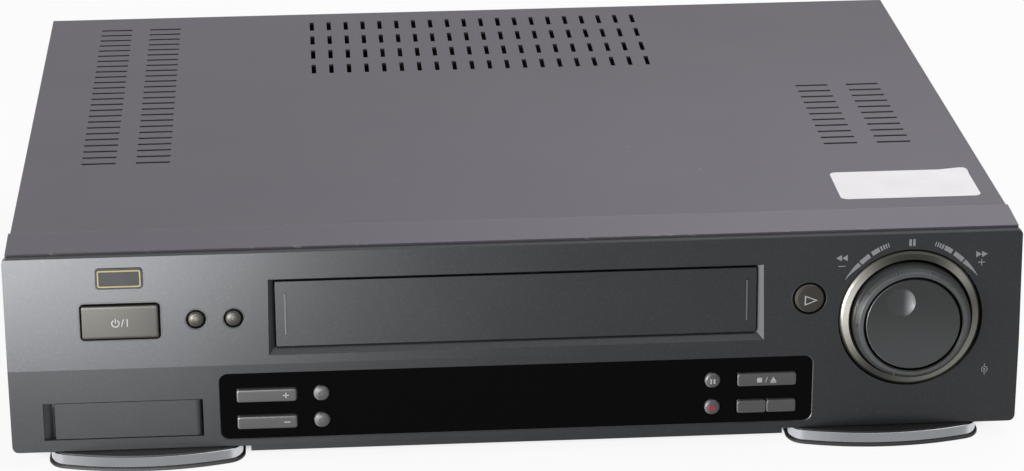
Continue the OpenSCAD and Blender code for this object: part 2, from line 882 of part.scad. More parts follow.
module jog_dial() {
    dimple_r = 6;
    dimple_deep = 1.5;
    ball_r = (dimple_r * dimple_r + dimple_deep * dimple_deep) / (2 * dimple_deep);
    front = -dial_reach + 0.6;
    color([0.25, 0.25, 0.26]) translate([dial_x, 0, dial_z]) difference() {
        turned_y([
            [0, front], [jog_r - 0.6, front], [jog_r, front + 0.5], [jog_r, front + 6],
            [jog_r - 1.4, front + 6], [jog_r - 1.4, front + 2.6], [shaft_r, front + 2.6],
            [shaft_r, well_y + well_t + 3], [0, well_y + well_t + 3]
        ]);
        translate([-0.28 * jog_r, front - ball_r + dimple_deep, 0.48 * jog_r]) sphere(ball_r);
    }
}

module dial_encoder() {
    color([0.2, 0.2, 0.22]) translate([dial_x, 0, dial_z]) turned_y([
        [shaft_r + run, 4], [bush_r, 4], [bush_r, 8.6], [bush_r + 2.4, 8.6],
        [bush_r + 2.4, well_y + well_t], [encoder_r, well_y + well_t],
        [encoder_r, dial_board_y], [0, dial_board_y],
        [0, well_y + well_t + 3.1], [shaft_r + run, well_y + well_t + 3.1]
    ]);
}

// Front feet: a wide shallow pad with an arc in front, a flange at the floor and a bright band
module foot_outline(grow) {
    arc_y = -foot_front + foot_arc_r;
    chamfer = [3.4, 7];
    x0 = foot_half - chamfer[0] + grow;
    x1 = foot_half + grow;
    y0 = -foot_front - 3;
    intersection() {
        translate([0, arc_y]) circle(foot_arc_r + grow, $fn = 128);
        polygon([
            [-x0, y0], [x0, y0], [x0, -1], [x1, -1 + chamfer[1]], [x1, foot_d + grow],
            [-x1, foot_d + grow], [-x1, -1 + chamfer[1]], [-x0, -1]
        ]);
    }
}

module foot(side) {
    color(dark) translate([side * foot_x, 0, 0]) {
        linear_extrude(flange_h) foot_outline(flange_lap);
        translate([0, 0, flange_h / 2]) linear_extrude(foot_h - flange_h / 2)
            foot_outline(-trim_t);
    }
}

module foot_trim(side) {
    color(chrome) translate([side * foot_x, 0, flange_h]) difference() {
        linear_extrude(trim_h) foot_outline(0);
        translate([0, 0, -cut]) linear_extrude(trim_h + 2 * cut) foot_outline(-trim_t);
    }
}

module foot_trims() {
    for (side = [-1, 1]) foot_trim(side);
}

module rear_feet() {
    color(dark) for (side = [-1, 1]) translate([side * rear_foot_x, rear_foot_y, 0])
        rotate_extrude() polygon([
            [0, 0], [rear_foot_r - flange_h, 0], [rear_foot_r, flange_h],
            [rear_foot_r - 1, foot_h], [0, foot_h]
        ]);
}

// Screws with a cross recess in the head, pointing along +Z
module screw(l) {
    cross = [4, 0.8, 1.2];
    difference() {
        union() {
            cylinder(h = l, r = screw_r);
            translate([0, 0, -head_h]) cylinder(h = head_h, r = head_r);
        }
        for (a = [0, 90]) rotate([0, 0, a])
            translate([-cross[0] / 2, -cross[1] / 2, -head_h - cut])
                cube([cross[0], cross[1], cross[2] + cut]);
    }
}

module cover_screws() {
    color([0.1, 0.1, 0.1]) {
        for (y = side_screw_y, side = [-1, 1])
            translate([side * cover_x, y, side_screw_z]) rotate([0, -90 * side, 0]) screw(screw_l);
        for (x = rear_screw_x)
            translate([x, body_d, rear_screw_z]) rotate([90, 0, 0]) screw(screw_l - sheet);
    }
}

// Boards behind the front, with a small switch behind each key
module tact_switch(board_y) {
    tip = 0.8;
    y = board_y + root / 4;
    behind(y - switch_h + tip, switch_h - tip) square([switch_w, switch_w], center = true);
    rod_y(y - switch_h, switch_h, 1.4);
}

module key_board() {
    color(board_green) translate([standby_x - 19, 0, upper_key_z - key_board_h / 2])
        behind(key_board_y, board_t) square([key_board_w, key_board_h]);
    color(dark) for (x = [standby_x, timer_x, sound_x]) translate([x, 0, upper_key_z])
        tact_switch(key_board_y);
}

module display_board() {
    split_x = long_key_w / 4 + 0.8;
    color(board_green) on_lower_face() translate([0, 0, window_mid + root])
        behind(display_board_y, board_t) square([window_w + 8, window_h - 1], center = true);
    color(dark) on_lower_face() {
        for (x = [-round_key_x, round_key_x], z = [upper_row, lower_row])
            translate([x, 0, z]) tact_switch(display_board_y);
        for (x = [-long_key_x, long_key_x]) translate([x, 0, upper_row])
            tact_switch(display_board_y);
        for (x = [-long_key_x, long_key_x - split_x, long_key_x + split_x])
            translate([x, 0, lower_row]) tact_switch(display_board_y);
    }
}

module display_tube() {
    tube_y = seat_y + seat_t + 1;
    tube_t = 6;
    tube_end = tube_y + tube_t - root / 4;
    color([0.08, 0.1, 0.1]) on_lower_face() translate([0, 0, window_mid]) {
        behind(tube_y, tube_t) rounded(display_w - 6, display_h, 1);
        behind(tube_end, display_board_y - tube_end) square([display_w - 20, 3], center = true);
    }
}

module dial_board() {
    color(board_green) translate([dial_board_x0, 0, dial_board_z0]) behind(dial_board_y, board_t)
        square([dial_board_x1 - dial_board_x0, dial_board_z1 - dial_board_z0]);
    color(dark) translate([play_x, 0, play_z]) tact_switch(dial_board_y);
}

// Pocket behind the flap, glued to the back of the front plate
module input_pocket() {
    color(dark) difference() {
        on_lower_face() box(
            [flap_x - notch_w, 0, flap_z0 - pocket_t],
            [flap_x + flap_w + flap_gap + pocket_t, pocket_d, flap_z1 + pocket_t]);
        flap_opening();
        flap_ears(slip);
        box([-body_w / 2, -plate_t, 0], [0, plate_t, body_h]);
    }
}

// Three coaxial sockets behind the flap: a block with a shell round each contact
module phono_socket(y0) {
    difference() {
        rod_y(y0 - shell_l, shell_l + 1, shell_r);
        rod_y(y0 - shell_l - 1, shell_l, pin_hole_r);
    }
}

module front_sockets() {
    block_h = 12;
    block_d = 9;
    color([0.15, 0.15, 0.15]) on_lower_face() {
        for (i = [0:2]) translate([socket_x(i), 0, socket_drop()]) phono_socket(pocket_d);
        box([socket_x(0) - 7, pocket_d, socket_drop() - block_h / 2],
            [socket_x(2) + 7, pocket_d + block_d, socket_drop() + block_h / 2]);
    }
}

// Boards on the chassis
module main_board() {
    x0 = -deck_half + 6;
    y0 = tray_y + 27;
    color(board_green) translate([0, 0, board_z]) linear_extrude(board_t) polygon([
        [x0, rear_bay_y], [bay_x0, rear_bay_y], [bay_x0, y0], [bay_x1, y0],
        [bay_x1, panel_y - board_edge], [x0, panel_y - board_edge]
    ]);
}

// Large chips beside the deck, small ones behind it and a row of capacitors
module board_parts() {
    big_chip = [24, 24, 3];
    small_chip = [20, 14, 3.4];
    capacitor_r = 4;
    color(dark) {
        for (i = [0:2]) translate([bay_x0 + 10, side_post_y[0] + i * 44, socket_z]) cube(big_chip);
        for (i = [0:1]) translate([-deck_half + 14 + i * 26, rear_bay_y + 12, socket_z])
            cube(small_chip);
    }
    color(can_blue) for (i = [0:5])
        translate([bay_x1 - 25.8, side_post_y[0] - 4 + i * 26, socket_z])
            cylinder(h = 3 * capacitor_r, r = capacitor_r);
}

module power_board() {
    capacitors = [[16, 30, 11, 30], [20, 64, 8, 24], [44, 32, 6, 20], [46, 190, 6, 20]];
    y0 = side_post_y[0] - 10;
    color(board_green) box([-bay_x1, y0, board_z], [-bay_x0, panel_y - board_edge, socket_z]);
    color(can_blue) for (c = capacitors)
        translate([-bay_x1 + c[0], y0 + c[1], socket_z - root / 4]) cylinder(h = c[3], r = c[2]);
}

// Mains transformer: two stacks of laminations with the winding between them
module power_transformer() {
    core = [36, 36, 12];
    winding = [22, 30, 14];
    inset = (core - winding) / 2;
    color([0.25, 0.22, 0.1]) translate([-bay_x1 + 16, side_post_y[0] + 90, socket_z]) {
        for (z = [0, core[2] + winding[2]]) translate([0, 0, z]) cube(core);
        translate([inset[0], inset[1], core[2] - root]) cube(winding + [0, 0, 2 * root]);
    }
}

module heat_sink() {
    fins = 6;
    plate = [46, 3, 40];
    fin = [2, 13, 36];
    pitch = (plate[0] - fin[0]) / (fins - 1);
    color(steel) translate([-bay_x1 + 10, side_post_y[0] + 150, socket_z]) {
        cube(plate);
        for (i = [0:fins - 1]) translate([i * pitch, plate[1] - root, plate[2] - fin[2]])
            cube(fin + [0, root, 0]);
    }
}

module tuner_can() {
    can = [32, 60, 40];
    core_r = 1.6;
    reach = body_d + socket_reach - panel_y;
    color(steel) {
        translate([rf_x - can[0] / 2, panel_y - can[1], socket_z]) cube(can);
        for (z = rf_z) translate([rf_x, 0, z]) difference() {
            rod_y(panel_y - root, reach + root, rf_r);
            rod_y(panel_y + 2, reach, core_r);
        }
    }
}

module scart_sockets() {
    mouth = [23.5, 5.8];
    mouth_d = 12;
    chamfer = 3;
    pad = [scart_w - 4, 12, scart_z - scart_h / 2 - socket_z + root];
    color(dark) for (x = scart_x) translate([x, 0, 0]) difference() {
        union() {
            translate([0, 0, scart_z]) behind(body_d + 1 - scart_d, scart_d)
                square([scart_w, scart_h], center = true);
            translate([-pad[0] / 2, body_d - 20, socket_z]) cube(pad);
        }
        translate([0, 0, scart_z]) behind(body_d + 1 - mouth_d, mouth_d + cut) polygon([
            [-mouth[0], -mouth[1]], [mouth[0] - chamfer, -mouth[1]],
            [mouth[0], -mouth[1] + chamfer], mouth, [-mouth[0], mouth[1]]
        ]);
    }
}

module audio_sockets() {
    block_d = 14;
    side = 7;
    color([0.15, 0.15, 0.15]) {
        box([audio_x[0] - side, panel_y - block_d, socket_z],
            [audio_x[1] + side, panel_y, audio_z + side + 1]);
        for (x = audio_x) translate([x, 0, audio_z]) difference() {
            rod_y(panel_y - root, root + shell_l + 2 * sheet, shell_r);
            rod_y(panel_y + 2, shell_l + 2 * sheet, pin_hole_r);
        }
    }
}

// Mains inlet with two pins for a detachable lead
module mains_inlet() {
    body_l = 24;
    well = [18.4, 10.4];
    well_l = 16;
    pin_x = 4.3;
    pin_l = 11;
    y1 = body_d + 1;
    color(dark) translate([inlet_x, 0, inlet_z]) {
        difference() {
            behind(y1 - body_l, body_l) square([inlet_w, inlet_h], center = true);
            behind(y1 - well_l, well_l + cut) rounded(well[0], well[1], well[1] / 2 - slip);
        }
        for (side = [-1, 1]) translate([side * pin_x, 0, 0])
            rod_y(y1 - well_l - cut, pin_l + cut, 1.2);
    }
}

// Deck: a plate on posts, with the reels' spindles, the pinch arm's pivot and the drum's base on it
module deck_plate() {
    corner = [14, 20];
    slot = [36, 20];
    slot_at = [34, 60];
    color(steel) difference() {
        translate([0, 0, deck_z]) linear_extrude(deck_t) difference() {
            polygon([
                [-deck_half, deck_y0], [deck_half, deck_y0], [deck_half, deck_y1 - corner[1]],
                [deck_half - corner[0], deck_y1], [-deck_half + corner[0], deck_y1],
                [-deck_half, deck_y1 - corner[1]]
            ]);
            for (side = [-1, 1]) {
                guide_slot(side);
                translate([side * slot_at[0], slot_at[1]]) rounded(slot[0], slot[1], 3);
            }
            translate([capstan_x, capstan_y]) circle(capstan_r + 3);
        }
        for (p = deck_post) translate([p[0], p[1], 0]) cylinder(h = body_h, r = screw_r + slip);
    }
    color(steel) {
        for (side = [-1, 1]) deck_pin([side * reel_gap / 2, reel_y], spindle_r, spindle_l);
        deck_pin([pivot_x, pivot_y], pivot_r, pivot_l);
        translate([0, drum_y, deck_top - root]) drum_base();
    }
}

module deck_pin(at, r, l) {
    translate([at[0], at[1], deck_top - root]) cylinder(h = l + root, r = r);
}

module guide_slot(side) {
    for (t = [0, 1]) translate([
            side * (guide_x0 + t * (guide_x1 - guide_x0)), guide_y0 + t * (guide_y1 - guide_y0)])
        circle(slot_w / 2 + slip);
    translate([side * guide_x0, guide_y0]) rotate([0, 0, -side * guide_turn])
        translate([-slot_w / 2, 0]) square([slot_w, guide_run]);
}

// A tube cut off at the drum's lean
module drum_base() {
    base_r = drum_r - 4;
    base_wall = 5;
    h = drum_z - deck_top + root + base_r * tan(drum_tilt) + cut;
    difference() {
        cylinder(h = h, r = base_r);
        translate([0, 0, -cut]) cylinder(h = h + 2 * cut, r = base_r - base_wall);
        translate([0, 0, drum_z - deck_top + root]) rotate([drum_tilt, 0, 0])
            translate([-drum_r, -drum_r, 0]) cube([2 * drum_r, 2 * drum_r, h]);
    }
}

module deck_screws() {
    color(chrome) for (p = deck_post) translate([p[0], p[1], deck_top]) rotate([180, 0, 0])
        screw(deck_rise - 1);
}

// Side brackets with the L-shaped slots that the holder's pins run in
module bracket_outline() {
    pin = holder_pin_r + slip;
    nose_z = pin_z - 12;
    top = hinge_z + 2;
    drop = 20;
    difference() {
        polygon([
            [bracket_y0, nose_z], [deck_y0 + 2, nose_z], [deck_y0 + 2, deck_top],
            [bracket_y1, deck_top], [bracket_y1, top], [bracket_y0, top]
        ]);
        translate([pin_y0 - pin, pin_z - pin])
            square([pin_y1 - pin_y0 + holder_travel + 2 * pin, 2 * pin]);
        for (y = [pin_y0, pin_y1]) translate([y + holder_travel - pin, pin_z - drop])
            square([2 * pin, drop + pin]);
    }
}

module bracket(side) {
    lug_w = 6;
    lug_t = 1;
    color(steel) {
        translate([side * (bracket_x + bracket_t / 2), 0, 0]) across(bracket_t) bracket_outline();
        box([side > 0 ? bracket_x : -bracket_x - lug_w, deck_y0 + 12, deck_top],
            [side > 0 ? bracket_x + lug_w : -bracket_x, bracket_y1 - 10, deck_top + lug_t]);
    }
}

// The holder that carries the cassette in: a floor, two cheeks, a roof behind the swung door, two stops
module cassette_holder() {
    roof_z = holder_z + cassette_h + 1.6;
    roof_y = hinge_y + door_h + 8;
    cheek_z = hinge_z - 6;
    stop_x = [40, 80];
    stop_t = 2;
    stop_h = 10;
    out_x = holder_x + holder_t;
    pin_end = bracket_x + bracket_t + 1;
    color(steel) {
        box([-out_x, holder_y0, holder_z - holder_t], [out_x, holder_y1, holder_z]);
        box([-out_x, roof_y, roof_z], [out_x, holder_y1, roof_z + holder_t]);
        for (side = [-1, 1]) {
            x0 = side > 0 ? holder_x : -out_x;
            box([x0, holder_y0, holder_z - root], [x0 + holder_t, holder_y1, cheek_z]);
            box([x0, roof_y, holder_z - root], [x0 + holder_t, holder_y1, roof_z + holder_t]);
            for (y = [pin_y0, pin_y1]) translate([0, y, pin_z])
                rod_x(side > 0 ? holder_x + root : -pin_end, pin_end - holder_x - root, holder_pin_r);
            box([side > 0 ? stop_x[0] : -stop_x[1], holder_y1 - stop_t, holder_z - root],
                [side > 0 ? stop_x[1] : -stop_x[0], holder_y1, holder_z + stop_h]);
        }
    }
}

// Reels with a toothed rim and a splined hub
module reel(side) {
    teeth = 48;
    rim_r = 19;
    rim_h = 3;
    tooth = 1.2;
    seat_h = 6;
    hub_r = 4.6;
    hub_h = 15;
    spline = [6.4, 1.6, 13];
    step = 360 / teeth;
    flank = [[0, rim_r], [0.28, rim_r + tooth], [0.5, rim_r + tooth], [0.78, rim_r]];
    rim = [for (i = [0:teeth - 1], p = flank) p[1] * [cos((i + p[0]) * step), sin((i + p[0]) * step)]];
    color([0.85, 0.85, 0.82]) translate([side * reel_gap / 2, reel_y, deck_top + seam]) difference() {
        union() {
            linear_extrude(rim_h) polygon(rim);
            cylinder(h = seat_h, r = 12);
            cylinder(h = hub_h, r = hub_r);
            for (a = [0:120:240]) rotate([0, 0, a]) translate([0, -spline[1] / 2, 0]) cube(spline);
        }
        translate([0, 0, -cut]) cylinder(h = cut + spindle_l + 0.6, r = spindle_r + run);
    }
}

// Drum, leaning back by its helix angle
module on_drum() {
    translate([0, drum_y, drum_z]) rotate([drum_tilt, 0, 0]) children();
}

// The lower drum's wall stands on a ledge that guides the tape's edge
module lower_drum() {
    ledge = 1.2;
    ledge_z0 = 2;
    ledge_z1 = 5;
    color(chrome) on_drum() rotate_extrude() polygon([
        [drum_shaft_r + run, 0], [drum_r - 2, 0], [drum_r - 2, ledge_z0],
        [drum_r + ledge, ledge_z0], [drum_r + ledge, ledge_z1], [drum_r, ledge_z1],
        [drum_r, lower_drum_h], [drum_shaft_r + run, lower_drum_h]
    ]);
}

// The upper drum is dished, with a hub in its middle and six head tips at its lower edge
module upper_drum() {
    z0 = lower_drum_h + seam;
    z1 = z0 + upper_drum_h;
    dish = 3;
    rim = 4;
    hub_r = 17;
    hub_rise = 5;
    tip = [0.35, 2, 1.4];
    color(chrome) on_drum() {
        rotate_extrude() polygon([
            [0, z0 - 8], [drum_shaft_r, z0 - 8], [drum_shaft_r, z0], [drum_r, z0], [drum_r, z1],
            [drum_r - rim, z1], [drum_r - rim - 1, z1 - dish], [hub_r, z1 - dish],
            [hub_r, z1 + hub_rise], [0, z1 + hub_rise]
        ]);
        for (a = [0:60:300]) rotate([0, 0, a])
            translate([drum_r - seam, -tip[1] / 2, z0 + 0.1]) cube(tip);
    }
}

// Capstan: a shaft on a flywheel that turns inside the motor's shell, under the deck
module capstan() {
    shaft_rise = 30.8;
    color(steel) translate([capstan_x, capstan_y, deck_z]) {
        translate([0, 0, 2 - wheel_drop])
            cylinder(h = wheel_drop - 2 + deck_t + shaft_rise, r = capstan_r);
        translate([0, 0, -wheel_drop]) cylinder(h = wheel_t, r = flywheel_r - 3);
    }
}

module capstan_motor() {
    z0 = floor_z + slip;
    shell_t = 2;
    lid_t = 1.2;
    bush_t = 2.2;
    wheel_clear = 0.4;
    color([0.2, 0.2, 0.22]) translate([capstan_x, capstan_y, 0]) {
        translate([0, 0, z0]) cylinder(h = deck_z - wheel_drop - wheel_clear - z0, r = flywheel_r);
        translate([0, 0, z0]) tube(deck_z - z0, flywheel_r, flywheel_r - shell_t);
        translate([0, 0, deck_z - lid_t]) {
            tube(lid_t, flywheel_r, capstan_r + run);
            tube(deck_t + 6.2, capstan_r + bush_t, capstan_r + run);
        }
    }
}

module tube(h, r, bore) {
    linear_extrude(h) difference() {
        circle(r);
        circle(bore);
    }
}

// Pinch roller on its arm, parked away from the capstan
function roller_at() = [pivot_x + arm_l * cos(arm_rest), pivot_y + arm_l * sin(arm_rest)];

module pinch_arm() {
    p = roller_at();
    arm_w = 8;
    arm_t = 2;
    arm_z = deck_top + 4;
    boss_below = 3;
    color(steel) difference() {
        union() {
            translate([0, 0, arm_z]) linear_extrude(arm_t) {
                translate([pivot_x, pivot_y]) rotate([0, 0, arm_rest])
                    translate([0, -arm_w / 2]) square([arm_l, arm_w]);
                translate(p) circle(arm_w / 2);
            }
            translate([pivot_x, pivot_y, arm_z - boss_below]) cylinder(h = 20, r = pivot_r + 2);
            translate([p[0], p[1], arm_z]) cylinder(h = roller_pin_l, r = roller_pin_r);
        }
        translate([pivot_x, pivot_y, 0]) cylinder(h = body_h, r = pivot_r + run);
    }
}

module pinch_roller() {
    p = roller_at();
    rubber_h = 16;
    sleeve_r = 3;
    color([0.08, 0.08, 0.08]) translate([p[0], p[1], deck_top + 6.4]) difference() {
        union() {
            cylinder(h = rubber_h, r = roller_r);
            translate([0, 0, -slip]) cylinder(h = rubber_h + 3 * slip, r = sleeve_r);
        }
        translate([0, 0, -cut]) cylinder(h = rubber_h + 3 * cut, r = roller_pin_r + run);
    }
}

// Tape guides: a foot in the deck's slot, a block on the deck, and a roller between two flanges
module tape_guide(side) {
    block_h = 3;
    post_l = 20.5;
    guide_r = 3;
    flange = [4.2, 1.2];
    flange_z = [7, 21.8];
    color(chrome) translate([side * guide_x0, guide_y0, deck_top]) {
        translate([0, 0, 0.1]) linear_extrude(block_h) rounded(12, 14, 3);
        translate([0, 0, -deck_t - 2]) cylinder(h = deck_t + 4, r = slot_w / 2 - slip);
        translate([0, 0, -deck_t - 2.6]) cylinder(h = 2.4, r = slot_w / 2 + 1.6);
        translate([0, 0, block_h]) cylinder(h = post_l, r = 1.6);
        translate([0, 0, flange_z[0] + 1]) cylinder(h = flange_z[1] - flange_z[0] - 0.8, r = guide_r);
        for (z = flange_z) translate([0, 0, z]) cylinder(h = flange[1], r = flange[0]);
    }
}

// Fixed heads and posts along the tape's path: the sound head before the capstan, the erase head opposite
module tape_heads() {
    head_l = 20;
    post_r = 2;
    sound_head = [10, 8];
    erase_head = [12, 8];
    sound_at = [capstan_x - 14.5, capstan_y + 10];
    erase_at = [2 - capstan_x, capstan_y + 6];
    post_at = [[-capstan_x - 14, capstan_y - 6], [capstan_x - 8, capstan_y - 4]];
    color(chrome) {
        head_block(sound_at, sound_head, head_l);
        head_block(erase_at, erase_head, head_l);
        for (p = post_at) translate([p[0], p[1], deck_top]) cylinder(h = head_l + 4, r = post_r);
    }
}

module head_block(at, size, h) {
    translate([at[0], at[1], deck_top]) linear_extrude(h) square(size, center = true);
}

// The front face is the plane y = 0 in every module above; this puts it in its place.
module placed() {
    translate([0, face_y, 0]) children();
}

placed() top_cover();
placed() bottom_chassis();
placed() rear_panel();
placed() front_fascia();
placed() display_window();
placed() cassette_door();
placed() input_flap();
placed() standby_key();
placed() upper_round_key(timer_x);  // timer_key
placed() upper_round_key(sound_x);  // sound_key
placed() play_key();
placed() window_long_key(-1, upper_row);  // channel_up_key
placed() window_long_key(-1, lower_row);  // channel_down_key
placed() window_round_key(-1, upper_row);  // picture_key
placed() window_round_key(-1, lower_row);  // link_key
placed() window_round_key(1, upper_row);  // pause_key
placed() window_round_key(1, lower_row);  // record_key
placed() window_long_key(1, upper_row);  // stop_eject_key
placed() window_split_key(-1);  // insert_key
placed() window_split_key(1);  // dub_key
placed() dial_ring();
placed() shuttle_ring();
placed() jog_dial();
placed() dial_encoder();
placed() foot(-1);  // left_foot
placed() foot(1);  // right_foot
placed() foot_trims();
placed() rear_feet();
placed() cover_screws();
placed() key_board();
placed() display_board();
placed() dial_board();
placed() display_tube();
placed() input_pocket();
placed() front_sockets();
placed() main_board();
placed() board_parts();
placed() power_board();
placed() power_transformer();
placed() heat_sink();
placed() tuner_can();
placed() scart_sockets();
placed() audio_sockets();
placed() mains_inlet();
placed() deck_plate();
placed() deck_screws();
placed() bracket(-1);  // left_bracket
placed() bracket(1);  // right_bracket
placed() cassette_holder();
placed() reel(-1);  // supply_reel
placed() reel(1);  // takeup_reel
placed() lower_drum();
placed() upper_drum();
placed() capstan();
placed() capstan_motor();
placed() pinch_arm();
placed() pinch_roller();
placed() tape_guide(-1);  // left_guide
placed() tape_guide(1);  // right_guide
placed() tape_heads();
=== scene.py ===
# %% [markdown]
# # A video cassette recorder, dressed for its portrait
# The solids of this recorder come from its CAD source and are never moved here. What this file adds is
# what the eye meets: paint with a grain, printed signs, a paper label, the rims round the keys, and the
# light that shows them. Every length is a real one, in millimetres, and turned into metres at the end.

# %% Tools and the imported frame
import math

import bmesh
import bpy
from mathutils import Matrix, Vector


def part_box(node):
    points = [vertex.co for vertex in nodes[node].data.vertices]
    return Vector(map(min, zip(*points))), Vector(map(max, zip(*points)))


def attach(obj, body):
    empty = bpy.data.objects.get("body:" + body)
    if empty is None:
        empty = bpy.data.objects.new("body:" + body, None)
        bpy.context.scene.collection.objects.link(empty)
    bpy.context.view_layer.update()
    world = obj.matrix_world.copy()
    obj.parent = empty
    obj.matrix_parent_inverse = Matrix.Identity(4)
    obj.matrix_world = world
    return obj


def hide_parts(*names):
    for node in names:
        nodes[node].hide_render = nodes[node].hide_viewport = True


MM = 0.001
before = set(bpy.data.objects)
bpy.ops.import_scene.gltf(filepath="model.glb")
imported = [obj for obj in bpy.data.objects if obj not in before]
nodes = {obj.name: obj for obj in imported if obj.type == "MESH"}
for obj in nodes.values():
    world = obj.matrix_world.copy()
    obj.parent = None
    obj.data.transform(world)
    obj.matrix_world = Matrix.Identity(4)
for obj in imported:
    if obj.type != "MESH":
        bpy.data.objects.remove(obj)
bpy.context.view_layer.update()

# %% [markdown]
# ## The camera
# The picture was taken from a metre and a half away, from above and a little from the left, with a long
# lens. The focal length is known in picture widths, so it holds whatever the render's size is. A camera
# looks along its own -Z, so its matrix is built from three directions: right, up and back.

# %% Camera
LENS_IN_WIDTHS = 3519.7 / 1024
YAW, PITCH, ROLL = (math.radians(angle) for angle in (3.66, 19.45, 0.48))
CAMERA_PLACE = Vector((-0.08435, -1.45698, 0.5489))

ahead = Vector((math.sin(YAW) * math.cos(PITCH), math.cos(YAW) * math.cos(PITCH), -math.sin(PITCH)))
level = Vector((math.cos(YAW), -math.sin(YAW), 0))
down = ahead.cross(level)
right = math.cos(ROLL) * level + math.sin(ROLL) * down
below = math.cos(ROLL) * down - math.sin(ROLL) * level

lens = bpy.data.cameras.new("portrait_lens")
lens.sensor_width = 36
lens.lens = lens.sensor_width * LENS_IN_WIDTHS
camera = bpy.data.objects.new("portrait_camera", lens)
camera.matrix_world = Matrix((right, -below, -ahead)).transposed().to_4x4()
camera.location = CAMERA_PLACE
bpy.context.scene.collection.objects.link(camera)
bpy.context.scene.camera = camera
bpy.context.scene.view_settings.view_transform = "Standard"
print("lens", round(lens.lens, 1), "mm")

# %% [markdown]
# ## Sums on sockets
# A shader is arithmetic: a mask times a colour, one minus a mask. Written as nodes it is hard to read, so a
# small class wraps a socket and turns each Python operator into a Math node, or a Vector Math node where
# the socket carries three numbers. Every other node comes from one method, `node` of `Tree`, for materials
# and for the world. A `Finish` is a material's tree with the patterns that are mixed into it.

# %% The class for sums
class Wire:
    """A socket whose sums are written as Python expressions."""

    def __init__(self, tree, socket):
        self.tree, self.socket = tree, socket

    def work(self, operation, *terms):
        if self.socket.type == "VALUE":
            return self.tree.node("Math", {"operation": operation}, dict(enumerate(terms)))
        triples = [(t,) * 3 if isinstance(t, (int, float)) else t for t in terms]
        return self.tree.node("VectorMath", {"operation": operation}, dict(enumerate(triples)))

    def __add__(self, other):
        return self.work("ADD", self, other)

    def __sub__(self, other):
        return self.work("SUBTRACT", self, other)

    def __rsub__(self, other):
        return self.work("SUBTRACT", other, self)

    def __mul__(self, other):
        return self.work("MULTIPLY", self, other)

    def __gt__(self, other):
        return self.work("GREATER_THAN", self, other)

    def __lt__(self, other):
        return self.work("LESS_THAN", self, other)

    __radd__ = __add__
    __rmul__ = __mul__


print("a wire knows + - * > <")


# %% The class for a tree of nodes
class Tree:
    """The nodes of a material or of the world."""

    def __init__(self, tree):
        self.nodes, self.links = tree.nodes, tree.links

    def node(self, kind, settings=None, sockets=None, out=0):
        made = self.nodes.new("ShaderNode" + kind)
        for name, value in (settings or {}).items():
            setattr(made, name, value)
        open_inputs = [s for s in made.inputs if s.enabled]
        for name, value in (sockets or {}).items():
            socket = open_inputs[name] if isinstance(name, int) else made.inputs[name]
            if isinstance(value, Wire):
                self.links.new(value.socket, socket)
            elif isinstance(value, tuple) and socket.type == "RGBA":
                socket.default_value = (*value, 1)
            else:
                socket.default_value = value
        open_outputs = [s for s in made.outputs if s.enabled]
        return Wire(self, open_outputs[out] if isinstance(out, int) else made.outputs[out])


print("every node comes from", Tree.node.__qualname__)


# %% The class for a finish
class Finish(Tree):
    """A material, its Principled shader, and patterns to mix: clouds, flecks, slopes and bumps."""

    def __init__(self, name, color, roughness, **constants):
        self.material = bpy.data.materials.new(name)
        self.material.use_nodes = True
        super().__init__(self.material.node_tree)
        self.shader = self.nodes["Principled BSDF"]
        self.color = color
        self.shader.inputs["Base Color"].default_value = (*color, 1)
        self.shader.inputs["Roughness"].default_value = roughness
        for name, value in constants.items():
            self.shader.inputs[name.replace("_", " ").title().replace("Ior", "IOR")].default_value = value

    def feed(self, name, wire):
        self.links.new(wire.socket, self.shader.inputs[name])
        return self

    def place(self):
        """Where a point is on the object, in millimetres."""
        return self.node("TexCoord", out="Object") * (1 / MM)

    def along(self, axis):
        """Where a point is along one axis of the object, in millimetres."""
        return self.node("SeparateXYZ", {}, {0: self.place()}, axis)

    def rise(self, wire, start, end, low=0.0, high=1.0):
        """A number that goes softly from `low` to `high` while the wire goes from `start` to `end`."""
        return self.node("MapRange", {"interpolation_type": "SMOOTHSTEP"}, {
            "Value": wire, "From Min": start, "From Max": end, "To Min": low, "To Max": high})

    def noise(self, size, detail=2.0, stretch=(1, 1, 1)):
        """Cloudy noise from 0 to 1 whose blotches are about `size` millimetres."""
        spot = self.place() * tuple(1 / (size * s) for s in stretch)
        return self.node("TexNoise", {}, {"Vector": spot, "Scale": 1.0, "Detail": detail}, "Fac")

    def flecks(self, pitch, radius, share):
        """1 on small round flecks: one cell in `1 / share` of a grid of `pitch` holds one."""
        spot = self.place() * (1 / pitch)
        cells = {"Vector": spot, "Scale": 1.0}
        near = self.node("TexVoronoi", {}, cells, "Distance") < radius / pitch
        pick = self.node("SeparateColor", {}, {0: self.node("TexVoronoi", {}, cells, "Color")})
        return near * (pick < share)

    def slope(self, axis, start, end):
        """0 to 1 as the surface turns along an axis: where its normal goes from `start` to `end`."""
        turned = self.node("SeparateXYZ", {}, {0: self.node("NewGeometry", out="Normal")}, axis)
        return self.rise(turned, start, end)

    def mix(self, mask, low, high):
        """The colour `low` where the mask is 0 and `high` where it is 1."""
        return self.node("Mix", {"data_type": "RGBA"}, {0: mask, 1: low, 2: high})

    def bump(self, height, depth):
        """Lets a height from 0 to 1 stand `depth` millimetres proud in the shading."""
        sockets = {"Height": height, "Distance": depth * MM, "Strength": 1.0}
        return self.feed("Normal", self.node("Bump", {}, sockets, "Normal"))


print("patterns of a finish: noise, flecks, slope, bump")


# %% Colours as a paint chart gives them
def shade(red, green, blue):
    """A colour as a paint chart gives it, 0 to 255, in the linear numbers that a shader wants."""
    return tuple(((c / 255 + 0.055) / 1.055) ** 2.4 if c > 10 else c / 255 / 12.92
                 for c in (red, green, blue))


